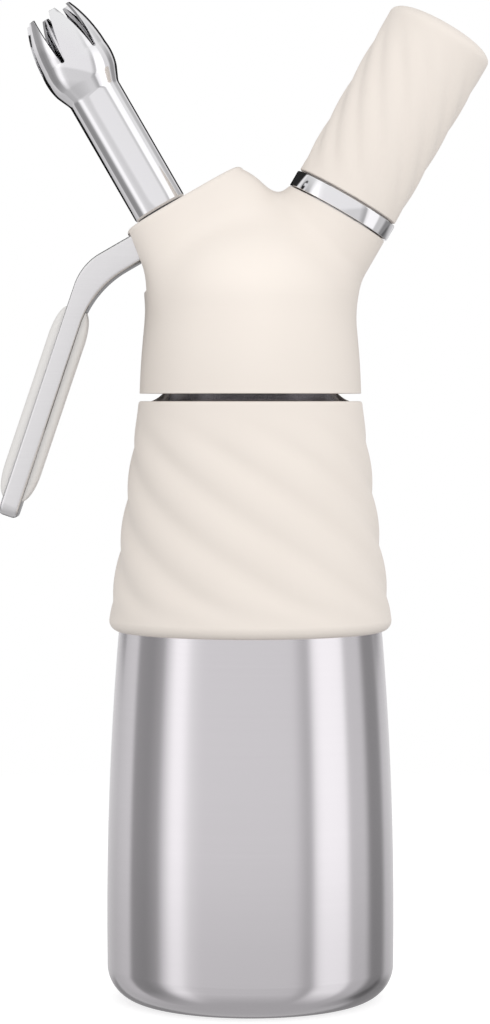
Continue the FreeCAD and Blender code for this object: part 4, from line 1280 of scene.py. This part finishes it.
@dataclass
class Studio:
    """A white room whose soft boxes and flags stand round the object as bands of light and shade."""

    bands: tuple[tuple[float, float], ...] = (
        (-180, 0.85), (-150, 0.78), (-138, 0.75), (-114, 0.95), (-110, 0.42), (-92, 0.38), (-80, 0.5),
        (-74, 1.0), (-66, 1.5), (-58, 1.5), (-50, 1.1), (-40, 0.98), (36, 0.96), (46, 0.64), (50, 0.62),
        (54, 1.3), (60, 1.5), (83, 1.46), (88, 0.82), (105, 0.86), (113, 0.36), (131, 0.36), (139, 0.78),
        (152, 0.8), (180, 0.85))
    flags_from: float = 135.0
    flags_skew: float = 31.0
    level_lowest: float = -0.65
    level_low: float = -0.22
    level_high: float = -0.04
    low_share: float = 0.55
    low_light: float = 0.8
    gain: float = 2.0
    overhead: Tint = (0.5, 0.5, 0.5, 1.0)
    underneath: Tint = (0.36, 0.355, 0.36, 1.0)
    flag_black: Tint = (0.012, 0.012, 0.012, 1.0)
    matt_low: Tint = (0.83, 0.825, 0.82, 1.0)
    matt_high: Tint = (0.94, 0.935, 0.93, 1.0)
    key_spot: Spot = (0.22, -0.98, 0.42)
    key_aim: Spot = (0.0, 0.0, 0.14)
    key_size: float = 0.7
    key_watts: float = 2.6
    glow_spot: Spot = (-0.01, -0.5, 0.26)
    glow_aim: Spot = (0.0, 0.0, 0.199)
    glow_cone: float = 5.8
    glow_watts: float = 1.4
    card_low: Corner = (-300.0, 135.0)
    card_high: Corner = (-30.0, 300.0)
    card_behind: float = 250.0
    eye: Spot = (-1.5, -906.0, 167.5)
    target: Spot = (-1.5, 0.0, 136.3)
    lens: float = 114.2
    floor_radius: float = 700.0
    floor_grey: Tint = (0.55, 0.55, 0.55, 1.0)
    floor_glow: float = 0.66

    def flags(self, nodes: Nodes, azimuth: Socket, rise: Socket) -> Socket:
        """Where black cards stand, from 0 to 1.

        One pair is behind the object, off the level that the bottle mirrors: |azimuth| less the skew
        times sign(azimuth) times rise is past flags_from. Another lies straight above.

        Args:
            nodes: the tree's hand.
            azimuth: the direction round Z, in radians, 0 towards the viewer.
            rise: how far the direction points up, from -1 to 1.

        Returns:
            The share of black.
        """
        start = math.radians(self.flags_from)
        side = nodes.math("MULTIPLY", nodes.math("SIGN", azimuth), rise)
        turned = nodes.math("SUBTRACT", nodes.math("ABSOLUTE", azimuth),
                            nodes.math("MULTIPLY", side, math.radians(self.flags_skew)))
        behind = nodes.ranged(turned, start, start + 0.07)
        high = nodes.ranged(rise, self.level_high, self.level_high + 0.04)
        below = nodes.ranged(rise, self.level_low - 0.12, self.level_low, self.low_share, 0.0)
        low = nodes.math("MULTIPLY", below, nodes.ranged(rise, self.level_lowest - 0.08, self.level_lowest))
        off_level = nodes.math("MAXIMUM", high, low)
        steep = nodes.ranged(rise, 0.88, 0.94)
        return nodes.math("MAXIMUM", nodes.math("MULTIPLY", behind, off_level), steep)

    def world(self) -> None:
        """White to the camera, soft from above to matt surfaces, and banded by direction to shiny ones."""
        world = bpy.data.worlds.new("studio")
        bpy.context.scene.world = world
        world.use_nodes = True
        nodes = Nodes(world.node_tree)
        world.node_tree.nodes.clear()
        where = nodes.add("ShaderNodeTexCoord").outputs["Generated"]
        x, y, z = nodes.feed(nodes.add("ShaderNodeSeparateXYZ"), Vector=where).outputs
        azimuth = nodes.math("ARCTAN2", x, nodes.math("MULTIPLY", y, -1.0))
        ramp = nodes.feed(nodes.add("ShaderNodeValToRGB"), Fac=nodes.ranged(azimuth, -math.pi, math.pi))
        stops = ramp.color_ramp.elements
        for number, (degrees, level) in enumerate(self.bands):
            spot = (degrees + 180) / 360
            stop = stops[number] if number < 2 else stops.new(spot)
            stop.position = spot
            part = level / self.gain
            stop.color = (part, part * 0.985, part, 1.0)
        banded = nodes.mixed(nodes.ranged(z, 0.35, 0.8), ramp.outputs["Color"], self.overhead)
        banded = nodes.mixed(nodes.ranged(z, -0.9, -0.55, 1.0, 0.0), banded, self.underneath)
        flagged = nodes.mixed(self.flags(nodes, azimuth, z), banded, self.flag_black)
        strength = nodes.ranged(z, -0.19, -0.10, self.gain * self.low_light, self.gain)
        shiny = nodes.background(flagged, strength)
        matt = nodes.background(nodes.mixed(nodes.ranged(z, -0.3, 0.9), self.matt_low, self.matt_high))
        path = nodes.add("ShaderNodeLightPath").outputs
        room = nodes.either(path["Is Glossy Ray"], matt, shiny)
        seen = nodes.either(path["Is Camera Ray"], room, nodes.background(WHITE))
        nodes.feed(nodes.add("ShaderNodeOutputWorld"), Surface=seen)

    def floor(self) -> None:
        """A pale round floor that fades into the white round it."""
        rim = np.array([(0.0, 0.0), (self.floor_radius, 0.0)])
        floor = make_piece("studio_floor", [Skin.turned(rim, 64)])
        material, nodes, shader = new_material("pale_floor")
        length = nodes.add("ShaderNodeVectorMath", operation="LENGTH")
        nodes.put(length.inputs[0], nodes.add("ShaderNodeTexCoord").outputs["Object"])
        fade = nodes.ranged(length.outputs["Value"], 0.12, self.floor_radius * MM * 0.8, 1.0, 0.0)
        seen = nodes.add("ShaderNodeLightPath").outputs["Is Camera Ray"]
        nodes.feed(shader, Base_Color=self.floor_grey, Roughness=0.9, Specular_IOR_Level=0.1, Alpha=fade,
                   Emission_Color=WHITE, Emission_Strength=nodes.math("MULTIPLY", seen, self.floor_glow))
        floor.data.materials.append(material)
        floor.visible_glossy = False

    def card(self) -> None:
        """A black card behind the left, which only polished metal above the bottle mirrors."""
        (left, low), (right, high) = self.card_low, self.card_high
        points = np.array([[(x, self.card_behind, z) for x in (left, right)] for z in (low, high)])
        card = make_piece("studio_card", [Skin.grid(points, Wrap.NONE)])
        material, nodes, shader = new_material("black_card")
        nodes.feed(shader, Base_Color=(0.01, 0.01, 0.01, 1.0), Roughness=1.0, Specular_IOR_Level=0.0)
        card.data.materials.append(material)
        card.visible_camera = False
        card.visible_diffuse = False
        card.visible_shadow = False

    def hang(self, light: bpy.types.Light, spot: Spot, aim: Spot, watts: float) -> None:
        """Puts a light at a spot, and no mirror or camera sees it."""
        light.energy = watts
        lamp = link_object(light.name, light)
        look_at(lamp, Vector(spot), Vector(aim))
        lamp.visible_glossy = False
        lamp.visible_camera = False

    def lamps(self) -> None:
        """A broad soft key light, and a narrow one with a soft rim for the middle of the head."""
        key = bpy.data.lights.new("key_light", "AREA")
        key.size = self.key_size
        self.hang(key, self.key_spot, self.key_aim, self.key_watts)
        glow = bpy.data.lights.new("head_glow", "SPOT")
        glow.spot_size = math.radians(self.glow_cone)
        glow.spot_blend = 1.0
        glow.shadow_soft_size = 0.02
        self.hang(glow, self.glow_spot, self.glow_aim, self.glow_watts)

    def camera(self) -> None:
        """The camera, level with the bottle's neck and looking slightly down."""
        data = bpy.data.cameras.new("camera")
        data.lens = self.lens
        data.sensor_width = 36.0
        data.clip_start = 0.05
        camera = link_object("camera", data)
        look_at(camera, Vector(self.eye) * MM, Vector(self.target) * MM)
        bpy.context.scene.camera = camera

    def build(self) -> None:
        """Room, floor, lights and camera."""
        self.world()
        self.floor()
        self.card()
        self.lamps()
        self.camera()
        bpy.context.scene.view_settings.view_transform = "Standard"


# ---------------------------------------------------------------------------------------- together


def main() -> None:
    """Builds the studio and every piece in order."""
    logging.basicConfig(level=logging.INFO, format="%(name)s: %(message)s")
    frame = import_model()
    Studio().build()
    wardrobe = Wardrobe()
    bottle = Bottle()
    bottle.build(wardrobe)
    GripSleeve().build(bottle, wardrobe)
    HeadCasing().build(wardrobe)
    Lever().build(wardrobe)
    DecoratingTip().build(wardrobe)
    ChargerHolder().build(wardrobe)
    ValveSpring().build(wardrobe)
    dress_inner_pieces(frame, wardrobe)


if __name__ == "__main__":
    main()
